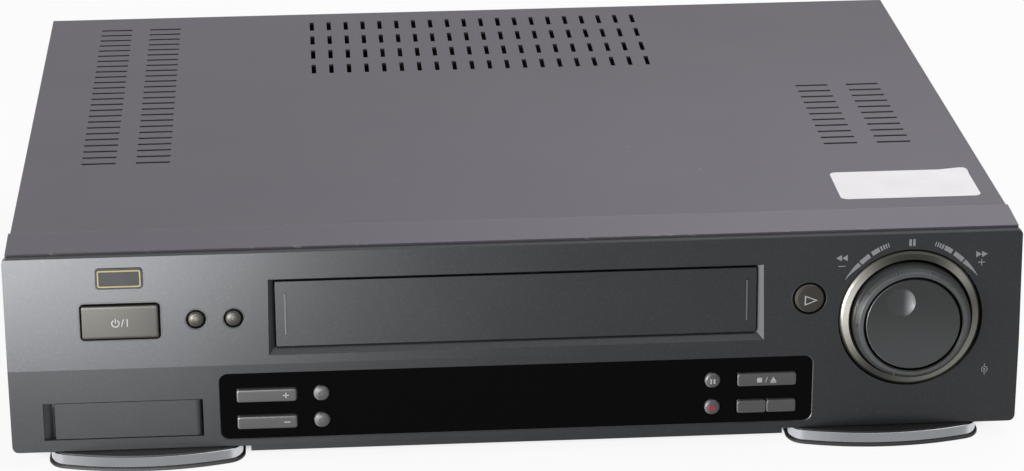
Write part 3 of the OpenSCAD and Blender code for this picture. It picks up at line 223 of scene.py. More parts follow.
def lighter(color, factor):
    return tuple(min(1.0, c * factor) for c in color)


print("a mid grey of 128 is", round(shade(128, 128, 128)[0], 3))

# %% [markdown]
# ## Floor, world and lamps
# A product is photographed on white paper under large soft lamps. The floor is a plain white sheet. The
# camera sees part of its light as plain white, so the paper reads as white while the soft shadow stays.
# The world gives the rest: a quiet level for the shading, and white where a ray from the camera, from
# gloss or through glass looks at it.

# %% Rays that look at a thing, and not the light that shades it
def looking_rays(tree):
    """1 for a ray from the camera, from gloss or through glass, and 0 for any other."""
    straight, glossy, through = (tree.node("LightPath", out=f"Is {name} Ray")
                                 for name in ("Camera", "Glossy", "Transmission"))
    return straight + glossy + through


print("looking rays: camera, glossy, transmission")

# %% Floor
floor_mesh = bpy.data.meshes.new("paper_floor")
FLOOR_HALF = 6.0
corners = [(-1, -1), (1, -1), (1, 1), (-1, 1)]
floor_mesh.from_pydata([(FLOOR_HALF * x, FLOOR_HALF * y, 0) for x, y in corners], [], [(0, 1, 2, 3)])
floor = bpy.data.objects.new("paper_floor", floor_mesh)
bpy.context.scene.collection.objects.link(floor)

paper = Finish("floor_paper", (0.80, 0.80, 0.80), 0.9, specular_ior_level=0.0)
rear_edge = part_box("rear_panel")[1].y / MM
across, deep = paper.along("X"), paper.along("Y")

# Under the machine the paper stays in its own shade, with a soft edge at the sides, front and rear.
SIDE_INSIDE, SIDE_OUTSIDE = 178, 194
FRONT_INSIDE, FRONT_OUTSIDE = -140, -158
REAR_INSIDE, REAR_OUTSIDE = rear_edge - 8, rear_edge + 4
PAPER_WHITE = 0.92
underneath = paper.rise(across, -SIDE_OUTSIDE, -SIDE_INSIDE) * paper.rise(across, SIDE_OUTSIDE, SIDE_INSIDE)
underneath = underneath * paper.rise(deep, FRONT_OUTSIDE, FRONT_INSIDE)
underneath = underneath * paper.rise(deep, REAR_OUTSIDE, REAR_INSIDE)
print("rear panel ends at", round(rear_edge, 1), "mm")
seen = looking_rays(paper) * (1 - underneath) * PAPER_WHITE
white = paper.node("Emission", {}, {"Color": (1.0, 1.0, 1.0), "Strength": 1.0})
blend = paper.node("MixShader", {}, {0: seen, 1: Wire(paper, paper.shader.outputs[0]), 2: white})
output = next(n for n in paper.nodes if n.type == "OUTPUT_MATERIAL")
paper.links.new(blend.socket, output.inputs["Surface"])
floor_mesh.materials.append(paper.material)
print("floor half width", FLOOR_HALF, "m")

# %% World and lamps
WORLD_LEVEL = 0.22
world = bpy.data.worlds.new("studio")
bpy.context.scene.world = world
world.use_nodes = True
sky = Tree(world.node_tree)
background = sky.nodes["Background"]
background.inputs["Color"].default_value = (1, 1, 1, 1)
strength = looking_rays(sky) * (1 - WORLD_LEVEL) + WORLD_LEVEL
sky.links.new(strength.socket, background.inputs["Strength"])


def soft_lamp(name, place, target, size, watts, gloss_only=False):
    """A soft lamp of `size` (width, height) that looks at a point; the camera doesn't see the lamp."""
    light = bpy.data.lights.new(name, "AREA")
    light.shape, light.energy = "RECTANGLE", watts
    light.size, light.size_y = size
    lamp = bpy.data.objects.new(name, light)
    lamp.location = place
    lamp.rotation_euler = (Vector(target) - Vector(place)).to_track_quat("-Z", "Y").to_euler()
    lamp.visible_camera, lamp.visible_diffuse = False, not gloss_only
    bpy.context.scene.collection.objects.link(lamp)
    return lamp


soft_lamp("top_lamp", (0.42, 0.05, 1.4), (0, 0, 0), (1.5, 1.3), 17)
soft_lamp("left_lamp", (-0.45, -0.50, 0.10), (-0.18, -0.165, 0.06), (0.30, 0.20), 1.6)
low_lamp = soft_lamp("low_lamp", (-0.23, -0.42, 0.03), (-0.15, -0.165, 0.07), (0.24, 0.05), 2.0,
                     gloss_only=True)

# The low lamp draws the front's gradient, beside the painted light of the lacquer: it lights only what is
# linked to this collection.
front_pieces = bpy.data.collections.new("front_pieces")
low_lamp.light_linking.receiver_collection = front_pieces
FRONT_NODES = ("front_fascia cassette_door input_flap standby_key timer_key sound_key play_key "
               "channel_up_key channel_down_key picture_key link_key pause_key record_key stop_eject_key "
               "insert_key dub_key dial_ring shuttle_ring jog_dial display_window")
for name in FRONT_NODES.split():
    front_pieces.objects.link(nodes[name])

# %% [markdown]
# ## Paint on the steel cover
# The cover is folded steel with a purple-grey paint that dries to a fine orange peel. Under soft light that
# grain is only felt, so it goes into the bump, in two sizes. Wide, faint clouds in the colour stand for
# years of dust and hands, and small bright flecks for chips. Along the front fold a broken light line is a
# painted highlight of the edge. The paint is drawn lighter towards the right front corner as painted light,
# the front band is drawn lighter as painted light on its slope, and its step carries a painted highlight
# line.

# %% Cover paint
COVER_FRONT_Y = -162.3
BAND_BACK_Y = -140.3
STEP_LINE = 0.7
PAINTED_LIGHT_CORNER, PAINTED_LIGHT_FAR, PAINTED_LIGHT_NEAR = (170.0, -150.0, 90.0), 330.0, 30.0
cover_paint = Finish("cover_paint", shade(84, 81, 89), 0.58, specular_ior_level=0.3)
clouds = cover_paint.noise(55, 3)
tone = cover_paint.mix(clouds, lighter(cover_paint.color, 0.90), lighter(cover_paint.color, 1.10))
# Painted light: the paint is drawn lighter towards the right front corner.
from_corner = cover_paint.node("VectorMath", {"operation": "DISTANCE"},
                               {0: cover_paint.place(), 1: PAINTED_LIGHT_CORNER}, "Value")
painted_corner_light = cover_paint.rise(from_corner, PAINTED_LIGHT_FAR, PAINTED_LIGHT_NEAR)
tone = cover_paint.mix(painted_corner_light * 0.5, tone, lighter(cover_paint.color, 1.7))
back = cover_paint.along("Y")
in_band = back < BAND_BACK_Y
step_highlight = in_band * (back > BAND_BACK_Y - STEP_LINE) * (cover_paint.noise(6, 3, (4, 1, 1)) > 0.42)
# Painted light: the front band is drawn lighter, most near the right corner, and its step gets a thin
# painted highlight line.
tone = tone * (1 + in_band * (0.10 + painted_corner_light * 0.22) + step_highlight * 0.22)
# Painted highlight: a broken light line along the front fold, broken up like chips.
fold_highlight = (back < COVER_FRONT_Y + STEP_LINE) * (cover_paint.noise(2.2, 3, (3, 1, 1)) > 0.63)
chips = cover_paint.flecks(9, 0.42, 0.05)
tone = cover_paint.mix(chips * 0.3 + fold_highlight * 0.22, tone, shade(190, 188, 190))
cover_paint.feed("Base Color", tone)
cover_paint.feed("Roughness", clouds * 0.14 + 0.48)
cover_paint.bump(cover_paint.noise(0.9, 2) * 0.7 + cover_paint.noise(3.5, 1) * 0.3, 0.02)
print("cover paint:", len(cover_paint.nodes), "nodes")

# %% [markdown]
# ## Metallic grey front
# The front is moulded plastic under a metallic lacquer: tiny flakes catch the light one by one. The finish
# is partly metal, so lamps draw a soft gradient over it, and flecks in its colour give the sparkle. Its
# colour is also painted lighter towards the left end, as painted light, and on slopes that face left, as
# painted highlights.

# %% Front lacquer
LEFT_LIGHT_START, LEFT_LIGHT_END = 60.0, -200.0


def lacquer(name, color, roughness, sparkle, metallic=0.2, drift=0.0, glint=3.0, wear=None):
    """Metallic paint on plastic, with flakes that are `sparkle` brighter than it.

    `drift` paints it lighter towards the left end, a painted gradient of light from the left, and `glint`
    lightens slopes that face left, a painted highlight. `wear` is a function that gives a factor for the
    colour from place to place; on the dial it paints light and shade.
    """
    coat = Finish(name, color, roughness, metallic=metallic, specular_ior_level=0.3)
    flakes = coat.flecks(0.75, 0.32, 0.25)
    clouds = coat.noise(38, 2)
    base = coat.mix(clouds, lighter(color, 0.92), lighter(color, 1.08))
    if drift:
        # Painted light: lighter towards the left end, as if lit from the left.
        painted_left_light = coat.rise(coat.along("X"), LEFT_LIGHT_START, LEFT_LIGHT_END)
        base = coat.mix(painted_left_light * drift, base, lighter(color, 2.2))
    # Painted highlight on slopes that face left.
    slope_highlight = coat.slope("X", -0.06, -0.45) * coat.slope("X", -0.95, -0.80)
    base = coat.mix(slope_highlight, base, lighter(color, glint))
    if wear:
        base = base * wear(coat)
    coat.feed("Base Color", coat.mix(flakes * 0.17, base, lighter(color, sparkle)))
    return coat.feed("Roughness", clouds * 0.08 + (roughness - 0.04))


print("lacquer lightens from x =", LEFT_LIGHT_START, "to", LEFT_LIGHT_END, "mm")

# %% Painted light and shade on the dial, told by the distance from its axis
ring_low, ring_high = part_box("dial_ring")
ring_centre = (ring_low + ring_high) / 2 / MM


def from_dial(coat, right=0.0, up=0.0):
    """How far a point is from the dial's axis, or from a line `right` and `up` of it, in millimetres."""
    spot = (coat.place() - (ring_centre.x + right, 0.0, ring_centre.z + up)) * (1.0, 0.0, 1.0)
    return coat.node("VectorMath", {"operation": "LENGTH"}, {0: spot}, "Value")


JOG_EDGE, SHUTTLE_LIP = 18.65, 19.95
DIMPLE_RIGHT, DIMPLE_UP, DIMPLE_R = -5.35, 9.17, 6.0


def jog_painted_light(coat):
    """Painted shade black at the jog's edge, a painted highlight in its dimple, painted light lower down.
    """
    up = coat.along("Z") - ring_centre.z
    dimple_highlight = coat.rise(from_dial(coat, DIMPLE_RIGHT, DIMPLE_UP), DIMPLE_R, DIMPLE_R - 1.2, 1.0, 1.35)
    return (from_dial(coat) < JOG_EDGE) * coat.rise(up, 14, -16, 0.72, 1.25) * dimple_highlight


def shuttle_painted_light(coat):
    """Painted shade black at the shuttle's lip, a painted highlight next to it, painted shade outside."""
    out = from_dial(coat)
    return (out > SHUTTLE_LIP) * coat.rise(out, 21.0, 22.2, 1.9, 0.75)


print("ring centre", [round(c, 1) for c in ring_centre])

# %% The lacquered finishes
FRONT_GREY = shade(53, 54, 56)
front_plastic = lacquer("front_plastic", FRONT_GREY, 0.40, 2.6, 0.4, drift=0.3, glint=5.0)
bright_key = lacquer("bright_key", shade(60, 58, 51), 0.36, 1.7)
grey_key = lacquer("grey_key", shade(90, 90, 91), 0.40, 1.5)
rim_lacquer = lacquer("rim_lacquer", FRONT_GREY, 0.42, 2.6, 0.3, drift=0.3, glint=1.6)
# Painted light and shade on the jog and the shuttle come in through `wear`.
jog_plastic = lacquer("jog_plastic", shade(68, 69, 70), 0.38, 1.5, glint=6.5, wear=jog_painted_light)
shuttle_plastic = lacquer("shuttle_plastic", shade(66, 67, 68), 0.38, 1.5, glint=1.5, wear=shuttle_painted_light)
PEEL_SIZE, PEEL_DEPTH = 1.2, 0.018
for coat in (front_plastic, grey_key, rim_lacquer, jog_plastic, shuttle_plastic):
    coat.bump(coat.noise(PEEL_SIZE, 2), PEEL_DEPTH)
print("orange peel of", PEEL_SIZE, "mm")

# %% The standby key is crowned: a height that falls towards both ends
key_low, key_high = (corner.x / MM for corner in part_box("standby_key"))
CROWN = 0.45
from_middle = (bright_key.along("X") - (key_low + key_high) / 2) * (2 / (key_high - key_low))
crown = 1 - from_middle * from_middle
crown = crown.work("MAXIMUM", crown, 0.0)
bright_key.bump(crown + bright_key.noise(1.1, 2) * (0.012 / CROWN), CROWN)
print("standby key from", round(key_low, 1), "to", round(key_high, 1))

# %% [markdown]
# ## Smoked window, ring, feet and the plain plastics
# The window is smoked acrylic, polished, with hair-thin wiping marks and a little dust. The dial's ring is
# turned aluminium lacquered champagne: its grain runs round the axis, so its noise depends only on the
# distance from it, and its bright and dark zones round the axis are painted reflections in its colour. The
# feet carry a chromed band, its ends painted lighter as painted highlights. The hidden plastics and metals
# each get their own grain.

# %% Window
window_plastic = Finish("window_plastic", (0.0008, 0.0008, 0.001), 0.07, specular_ior_level=0.045)
dust = window_plastic.flecks(6, 0.22, 0.05)
window_plastic.feed("Base Color", window_plastic.mix(dust, window_plastic.color, shade(150, 152, 158)))
wipes = window_plastic.noise(8, 2, (6, 1, 1))
window_plastic.feed("Roughness", wipes * 0.06 + dust * 0.4 + 0.04)
print("window:", len(window_plastic.nodes), "nodes")

# %% Champagne ring
ring_metal = Finish("ring_metal", shade(110, 108, 98), 0.32, metallic=0.85)
spot = (ring_metal.place() - (ring_centre.x, 0.0, ring_centre.z)) * (1.0, 0.0, 1.0)
heading = spot.work("NORMALIZE", spot)

# Painted reflections: the colour is lighter in lobes round the axis, where a turned face would shine
# across a lamp. Each lobe: direction in degrees, 0 at the right and 90 at the top, how narrow it is, and
# how bright.
LOBES = ((170, 5, 0.60), (42, 22, 0.20), (-40, 2, 0.15))
RING_DARK = 0.04
CHAMPAGNE = (1.0, 0.98, 0.86)
glow = None
for direction, narrow, bright in LOBES:
    towards = (math.cos(math.radians(direction)), 0.0, math.sin(math.radians(direction)))
    facing = ring_metal.node("VectorMath", {"operation": "DOT_PRODUCT"}, {0: heading, 1: towards}, "Value")
    facing = facing.work("MAXIMUM", facing, 0.0)
    lobe = facing.work("POWER", facing, narrow) * bright
    glow = lobe + RING_DARK if glow is None else glow + lobe
sheen = ring_metal.mix(glow, (0.0, 0.0, 0.0), CHAMPAGNE)
turning = ring_metal.node("TexNoise", {"noise_dimensions": "1D"},
                          {"W": from_dial(ring_metal), "Scale": 4.0}, "Fac")
specks = ring_metal.flecks(1.1, 0.3, 0.12)
ring_metal.feed("Base Color", ring_metal.mix(specks * 0.25, sheen, ring_metal.color))
ring_metal.feed("Roughness", turning * 0.10 + 0.25)
ring_metal.bump(turning, 0.004)
print("ring lobes:", len(LOBES))


# %% Plain grounds: one function for plastics and metals
def plain(name, color, roughness, grain, depth, metallic=0.0, spread=0.12, stretch=(1, 1, 1)):
    """A finish with a grain of `grain` millimetres and a colour that drifts by `spread`."""
    made = Finish(name, color, roughness, metallic=metallic)
    drift = made.noise(grain * 12, 3, stretch)
    made.feed("Base Color", made.mix(drift, lighter(color, 1 - spread), lighter(color, 1 + spread)))
    made.feed("Roughness", drift * 0.1 + (roughness - 0.05))
    return made.bump(made.noise(grain, 2, stretch), depth)


black_plastic = plain("black_plastic", shade(30, 30, 31), 0.55, 0.5, 0.01)
foot_bright = Finish("foot_bright", shade(140, 141, 145), 0.16, metallic=1.0)
# Painted highlights: the band's ends, which face left and right, are drawn lighter.
ends = foot_bright.slope("X", -0.12, -0.55) + foot_bright.slope("X", 0.25, 0.6)
foot_bright.feed("Base Color", foot_bright.mix(ends, foot_bright.color, shade(204, 205, 210)))
foot_bright.feed("Roughness", foot_bright.noise(18, 3) * 0.1 + 0.11)
foot_bright.bump(foot_bright.noise(1.5, 2), 0.002)
# Painted shade: a black finish for sheets set where there is only shade, in gaps and behind slots.
gap_shade_black = Finish("gap_shade_black", shade(9, 9, 9), 0.8, specular_ior_level=0.05)
plated_steel = plain("plated_steel", shade(168, 170, 172), 0.32, 0.8, 0.004, 1.0, 0.10, (6, 1, 1))
head_metal = plain("head_metal", shade(205, 206, 210), 0.22, 0.4, 0.003, 1.0, 0.06)
roller_rubber = plain("roller_rubber", shade(34, 33, 33), 0.75, 0.3, 0.01)
reel_plastic = plain("reel_plastic", shade(212, 211, 202), 0.5, 0.6, 0.006)
panel_steel = plain("panel_steel", shade(118, 118, 122), 0.5, 0.7, 0.01, 0.3)
can_metal = plain("can_metal", shade(150, 152, 155), 0.38, 1.2, 0.01, 0.9)
sink_metal = plain("sink_metal", shade(60, 61, 63), 0.5, 0.6, 0.006, 0.6)
tube_glass = plain("tube_glass", shade(38, 46, 48), 0.12, 2.0, 0.001, 0.0, 0.2)
print("plain grounds made")

# %% Circuit board: green lacquer over copper tracks
circuit_board = Finish("circuit_board", shade(34, 84, 46), 0.35)
grid = circuit_board.node("TexBrick", {"offset": 0.5}, {
    "Vector": circuit_board.place() * 0.1, "Scale": 2.2, "Mortar Size": 0.035,
    "Color1": (0.0, 0.0, 0.0), "Color2": (0.0, 0.0, 0.0), "Mortar": (1.0, 1.0, 1.0)}, "Fac")
pads = circuit_board.flecks(2.54, 0.55, 0.35)
tracks = circuit_board.mix(grid * 0.35, circuit_board.color, shade(96, 128, 70))
circuit_board.feed("Base Color", circuit_board.mix(pads * 0.8, tracks, shade(176, 172, 160)))
circuit_board.bump(grid + pads, 0.03)
print("circuit board:", len(circuit_board.nodes), "nodes")

# %% [markdown]
# ## Which node wears which finish
# Every solid of the frame keeps its shape and gets a finish by its material slot.

# %% Dress the CAD nodes
outfit = {
    cover_paint: "top_cover",
    front_plastic: "front_fascia cassette_door input_flap",
    window_plastic: "display_window",
    bright_key: "standby_key timer_key sound_key play_key",
    grey_key: "channel_up_key channel_down_key picture_key link_key pause_key record_key "
              "stop_eject_key insert_key dub_key",
    ring_metal: "dial_ring",
    shuttle_plastic: "shuttle_ring",
    jog_plastic: "jog_dial",
    black_plastic: "left_foot right_foot rear_feet input_pocket front_sockets audio_sockets "
                   "mains_inlet scart_sockets board_parts capstan_motor dial_encoder",
    foot_bright: "foot_trims",
    plated_steel: "bottom_chassis cover_screws deck_plate deck_screws left_bracket right_bracket "
                  "cassette_holder pinch_arm power_transformer",
    head_metal: "lower_drum upper_drum capstan tape_heads left_guide right_guide",
    roller_rubber: "pinch_roller",
    reel_plastic: "supply_reel takeup_reel",
    panel_steel: "rear_panel",
    can_metal: "tuner_can",
    sink_metal: "heat_sink",
    tube_glass: "display_tube",
    circuit_board: "main_board power_board key_board display_board dial_board",
}
dressed = set()
for finish, names in outfit.items():
    for name in names.split():
        slots = nodes[name].data.materials
        slots.clear()
        slots.append(finish.material)
        dressed.add(name)
print("dressed", len(dressed), "of", len(nodes), "left:", sorted(set(nodes) - dressed))

# %% [markdown]
# ## Two faces to print on
# The front is made of two planes that meet at a crease: the upper one leans back by less than a degree, the
# lower one falls back by almost four. A sign is drawn in millimetres, right and up, on one of these planes,
# so each plane is a matrix whose third axis points out of the front.

# %% The printing planes
FACE_Y = -165.5
LEAN, UPPER_RISE = 0.7, 46.6
TUCK, LOWER_RISE = 2.3, 35.6
CREASE_Z = 41.6


def front_plane(back, rise):
    """A plane through the crease that goes `back` over its `rise`; negative where it comes forward."""
    up = Vector((0, back, rise)).normalized()
    side = Vector((1, 0, 0))
    plane = Matrix((side, up, side.cross(up))).transposed().to_4x4()
    plane.translation = Vector((0, FACE_Y - LEAN, CREASE_Z))
    return plane


upper_plane = front_plane(LEAN, UPPER_RISE)
lower_plane = front_plane(-TUCK, LOWER_RISE)
print("upper plane leans", round(math.degrees(math.atan2(LEAN, UPPER_RISE)), 2), "degrees")


# %% Flat solids: a plate inside one outline, or a band between two
def add_plate(mesh, plane, front, back, outer, inner=None, closed=True):
    """Adds a plate or band to a mesh, from `back` to `front` millimetres out of the plane."""
    def row(points, depth):
        return [mesh.verts.new(plane @ Vector((u, v, depth)) * MM) for u, v in points]

    top, bottom = row(outer, front), row(outer, back)
    count = len(outer)
    if inner is None:
        mesh.faces.new(top)
        mesh.faces.new(bottom[::-1])
        for i in range(count):
            mesh.faces.new((top[i - 1], bottom[i - 1], bottom[i], top[i]))
        return
    inner_top, inner_bottom = row(inner, front), row(inner, back)
    for i in range(0 if closed else 1, count):
        for a, b in ((top, inner_top), (inner_top, inner_bottom), (inner_bottom, bottom), (bottom, top)):
            mesh.faces.new((a[i - 1], a[i], b[i], b[i - 1]))
    if not closed:
        for i in (0, -1):
            mesh.faces.new((top[i], inner_top[i], inner_bottom[i], bottom[i]))


print("plates and bands ready")


# %% From a mesh to a piece
def finish_piece(name, mesh, finish, body, bevel=0.0):
    """Turns a bmesh into a piece that wears a finish and rides on a body."""
    bmesh.ops.recalc_face_normals(mesh, faces=mesh.faces)
    data = bpy.data.meshes.new(name)
    mesh.to_mesh(data)
    mesh.free()
    data.materials.append(finish.material)
    piece = bpy.data.objects.new(name, data)
    bpy.context.scene.collection.objects.link(piece)
    front_pieces.objects.link(piece)
    if bevel:
        softener = piece.modifiers.new("soft_edges", "BEVEL")
        softener.width, softener.segments, softener.limit_method = bevel * MM, 2, "ANGLE"
    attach(piece, body)
    return piece


print("pieces ready")


# %% Outlines
def arc(cu, cv, radius, start, end, steps=24):
    """Points on an arc, in degrees, 0 at the right and 90 at the top."""
    turns = [math.radians(start + (end - start) * i / steps) for i in range(steps + 1)]
    return [(cu + radius * math.cos(t), cv + radius * math.sin(t)) for t in turns]


def ring_band(cu, cv, radius, width, start=0, end=360, steps=48):
    """Outer and inner row of a stroke that follows an arc."""
    closed = end - start >= 360
    if closed:
        end = start + 360 * (1 - 1 / (steps + 1))
    outer, inner = (arc(cu, cv, radius + s * width / 2, start, end, steps) for s in (1, -1))
    return outer, inner, closed


def bar(cu, cv, width, height, slant=0.0):
    """A rectangle about a centre, its top pushed to the right by `slant`."""
    w, h, s = width / 2, height / 2, slant / 2
    return [(cu - w - s, cv - h), (cu + w - s, cv - h), (cu + w + s, cv + h), (cu - w + s, cv + h)]


def rounded_bar(width, height, radius, steps=6, cu=0, cv=0):
    """A rectangle with rounded corners."""
    w, h = width / 2 - radius, height / 2 - radius
    places = [(w, h, 0), (-w, h, 90), (-w, -h, 180), (w, -h, 270)]
    return [p for x, y, turn in places for p in arc(cu + x, cv + y, radius, turn, turn + 90, steps)]


print("one ring stroke has", len(ring_band(0, 0, 1, 0.2)[0]), "points")

# %% Ink on a plane
INK_FRONT, INK_BACK = 0.05, -0.15


def printed(name, plane, shapes, finish, body, lift=0.0):
    """Ink: each shape is an outline, or (outer, inner, closed)."""
    mesh = bmesh.new()
    for shape in shapes:
        parts = shape if isinstance(shape, tuple) else (shape,)
        add_plate(mesh, plane, lift + INK_FRONT, lift + INK_BACK, *parts)
    return finish_piece(name, mesh, finish, body)


print("ink stands", INK_FRONT, "mm proud")

# %% [markdown]
# ## Inks and paper
# Screen-printed ink is a thin, slightly uneven layer of matt paint: its edge is sharp, its tone drifts and
# pinholes show in it. Paper is whiter and rougher, with long faint fibres.

# %% Inks and paper
def ink(name, color):
    made = Finish(name, color, 0.6)
    wear = made.noise(0.8, 3)
    made.feed("Base Color", made.mix(wear, lighter(color, 0.75), lighter(color, 1.15)))
    return made.bump(wear, 0.01)


white_ink = ink("white_ink", shade(205, 206, 208))
pale_ink = ink("pale_ink", shade(165, 167, 170))
# Painted highlight: the light grey of the door's ridges.
ridge_highlight_grey = ink("ridge_highlight_grey", shade(112, 113, 115))
red_ink = ink("red_ink", shade(176, 34, 74))
gold_ink = ink("gold_ink", shade(176, 160, 96))
dark_plate = plain("dark_plate", shade(34, 33, 38), 0.75, 0.5, 0.004)
label_paper = Finish("label_paper", shade(226, 224, 228), 0.8, specular_ior_level=0.2)
fibres = label_paper.noise(0.6, 3, (4, 1, 1))
stains = label_paper.noise(14, 2)
label_paper.feed("Base Color", label_paper.mix(stains, shade(236, 234, 238), shade(250, 248, 250)))
label_paper.bump(fibres * 0.6 + label_paper.noise(9, 1) * 0.4, 0.05)
print("inks made")

# %% [markdown]
# ## Caps of the flat keys
# A pressed or moulded cap has no sharp edge: the light draws a line along its rounded rim. The solids have
# a plain step there, so each flat key gets a thin skin over its cap, lofted from outlines that shrink as
# they rise. It rides on the same body, so it goes in with the key.

# %% Lofting rows of outlines
def flat_plane(front_y):
    """An upright printing plane at a depth, for the faces of keys; right and up are the row's x and z."""
    return Matrix(((1, 0, 0, 0), (0, 0, -1, front_y), (0, 1, 0, 0), (0, 0, 0, 1)))


def place_on(plane, name):
    """Where a node is on a plane: middle right, middle up, width, height and how far it stands out."""
    points = [plane.inverted() @ (v.co / MM) for v in nodes[name].data.vertices]
    front = max(p.z for p in points)
    cap = [p for p in points if p.z > front - 1.2]
    left, right = min(p.x for p in cap), max(p.x for p in cap)
    bottom, top = min(p.y for p in cap), max(p.y for p in cap)
    return (left + right) / 2, (bottom + top) / 2, right - left, top - bottom, front


def loft(plane, outline, section, capped, mesh=None):
    """Rows of `outline(grow)` at the depths of a section of (grow, depth), joined to one closed form."""
    mesh = bmesh.new() if mesh is None else mesh
    rows = [[mesh.verts.new(plane @ Vector((u, v, depth)) * MM) for u, v in outline(grow)]
            for grow, depth in section]
    pairs = list(zip(rows, rows[1:]))
    if capped:
        mesh.faces.new(rows[0])
        mesh.faces.new(rows[-1])
    else:
        pairs.append((rows[-1], rows[0]))
    for a, b in pairs:
        for i in range(len(a)):
            mesh.faces.new((a[i - 1], a[i], b[i], b[i - 1]))
    return mesh


print("standby key's cap", [round(size, 1) for size in place_on(flat_plane(0), "standby_key")])

# %% Skins on the flat caps
SKIN_FRONT = 0.08
CAP_SECTION = ((0.05, -1.6), (0.05, -0.30), (-0.04, -0.12), (-0.20, -0.02), (-0.45, 0.05),
               (-0.9, SKIN_FRONT))
KEY_CORNER = 1.1
upright = flat_plane(0)
grey_caps = ("channel_up", "channel_down", "stop_eject", "insert", "dub")
flat_keys = [(name, lower_plane, grey_key, "grey_key") for name in grey_caps]
for name, plane, finish, slot in flat_keys + [("standby", upright, bright_key, "bright_key")]:
    u, v, width, height, front = place_on(plane, name + "_key")
    section = [(grow, front + depth) for grow, depth in CAP_SECTION]
    skin = loft(plane, lambda grow: rounded_bar(width + 2 * grow, height + 2 * grow, KEY_CORNER + grow,
                                                6, u, v), section, True)
    finish_piece(name + "_cap", skin, finish, name + "_button")
    print(name, "cap", round(width, 1), "x", round(height, 1), "mm, front", round(front, 2))

# %% [markdown]
# ## Signs on the upper face
# The large key carries the usual sign for standby, the play key a hollow triangle, and a scale of
# tapering blocks runs over the dial from one end of the shuttle's travel to the other. The signs on keys
# ride on the keys, so they go in with them.

# %% Places of the upper keys, read from the frame
def key_centre(name):
    low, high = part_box(name)
    centre = (low + high) / 2 / MM
    return centre.x, centre.z, low.y / MM


standby_x, standby_z, standby_y = key_centre("standby_key")
play_x, play_z, play_y = key_centre("play_key")
print("standby key", round(standby_x, 2), round(standby_z, 2), "front", round(standby_y, 2))

# %% Standby sign
sign_x, sign_z = standby_x - 1.8, standby_z - 0.4
outer, inner, _ = ring_band(sign_x, sign_z, 1.45, 0.34, 122, 418)
printed("standby_sign", flat_plane(standby_y - SKIN_FRONT), [
    (outer, inner, False),
    bar(sign_x, sign_z + 1.1, 0.36, 1.9),
    bar(sign_x + 2.75, sign_z + 0.1, 0.32, 3.1, 0.9),
    bar(sign_x + 4.6, sign_z + 0.1, 0.36, 3.1),
], white_ink, "standby_button")
print("standby sign at", round(sign_x, 2), round(sign_z, 2))


# %% Play sign: a hollow triangle
def pointer(cu, cv, width, height):
    """A triangle that points right."""
    return [(cu - width / 2, cv - height / 2), (cu + width / 2, cv), (cu - width / 2, cv + height / 2)]


inside = pointer(play_x + 0.35, play_z - 0.5, 3.7, 3.0)
printed("play_sign", flat_plane(play_y), [(pointer(play_x + 0.6, play_z - 0.5, 5.2, 4.2), inside, True)],
        white_ink, "play_button")
print("play sign at", round(play_x, 2), round(play_z, 2))

# %% Blocks of the dial's scale
dial_x, dial_z = ring_centre.x, ring_centre.z


def on_upper(z):
    """Height on the upper plane of a point at height z."""
    return (z - CREASE_Z) * math.hypot(LEAN, UPPER_RISE) / UPPER_RISE


def on_dial(radius, turn):
    """A point of the upper plane, `turn` degrees from the dial's top; right is positive."""
    across, up = radius * math.sin(math.radians(turn)), radius * math.cos(math.radians(turn))
    return dial_x + across, on_upper(dial_z + up)


BLOCKS = ((16.6, 17.3), (18.2, 19.1), (19.9, 21.0), (21.8, 23.1), (24.0, 30.2), (32.2, 40.6), (41.8, 57.0))
BLOCK_WIDTH, TAPER = 1.9, 0.92
SCALE_RADIUS, NEARER_PER_DEGREE = 32.2, 0.042


def block(begin, end, side):
    """A block of the scale, which comes nearer to the dial as it goes down; the last one tapers."""
    tapers = (begin, end) == BLOCKS[-1]
    outer, inner = [], []
    for i in range(11):
        turn = begin + (end - begin) * i / 10
        radius = SCALE_RADIUS - NEARER_PER_DEGREE * (turn - BLOCKS[0][0]) + BLOCK_WIDTH / 2
        width = BLOCK_WIDTH * (1 - TAPER * i / 10) if tapers else BLOCK_WIDTH
        outer.append(on_dial(radius, side * turn))
        inner.append(on_dial(radius - width, side * turn))
    return outer, inner, False


scale = [block(begin, end, side) for side in (-1, 1) for begin, end in BLOCKS]
print("blocks", len(scale))

# %% Wind signs of the scale
SCALE_TOP, WIND_OUT = 31.6, 27.8


def triangle(cu, cv, radius, turn=0):
    """A triangle with equal sides; it points to `turn`, 0 at the right and 90 at the top."""
    return arc(cu, cv, radius, turn, turn + 240, 2)


scale_top = on_upper(dial_z + SCALE_TOP)
scale += [bar(dial_x + side * 0.75, scale_top, 0.95, 2.8) for side in (-1, 1)]
for side in (-1, 1):
    wind_x = dial_x + side * WIND_OUT
    scale += [triangle(wind_x + side * (2.3 * step - 1.5), scale_top - 5.6, 1.5, 0 if side > 0 else 180)
              for step in (0, 1)]
    scale.append(bar(wind_x, scale_top - 9.0, 2.8, 0.34))
scale.append(bar(dial_x + WIND_OUT, scale_top - 9.0, 0.34, 2.8))
printed("dial_scale", upper_plane, scale, pale_ink, "chassis")
print("scale pieces", len(scale))

# %% Small mark under the dial: a ring with a dot between two short lines
MARK_X, MARK_DOWN = dial_x + 30.6, -12.2
mark = [ring_band(MARK_X, MARK_DOWN, 1.15, 0.3, 0, 360, 24), arc(MARK_X, MARK_DOWN, 0.42, 0, 345, 12),
        bar(MARK_X, MARK_DOWN + 1.9, 0.28, 1.1), bar(MARK_X, MARK_DOWN - 1.9, 0.28, 1.1)]
printed("dial_mark", lower_plane, mark, pale_ink, "chassis")
print("mark at", round(MARK_X, 1), MARK_DOWN)

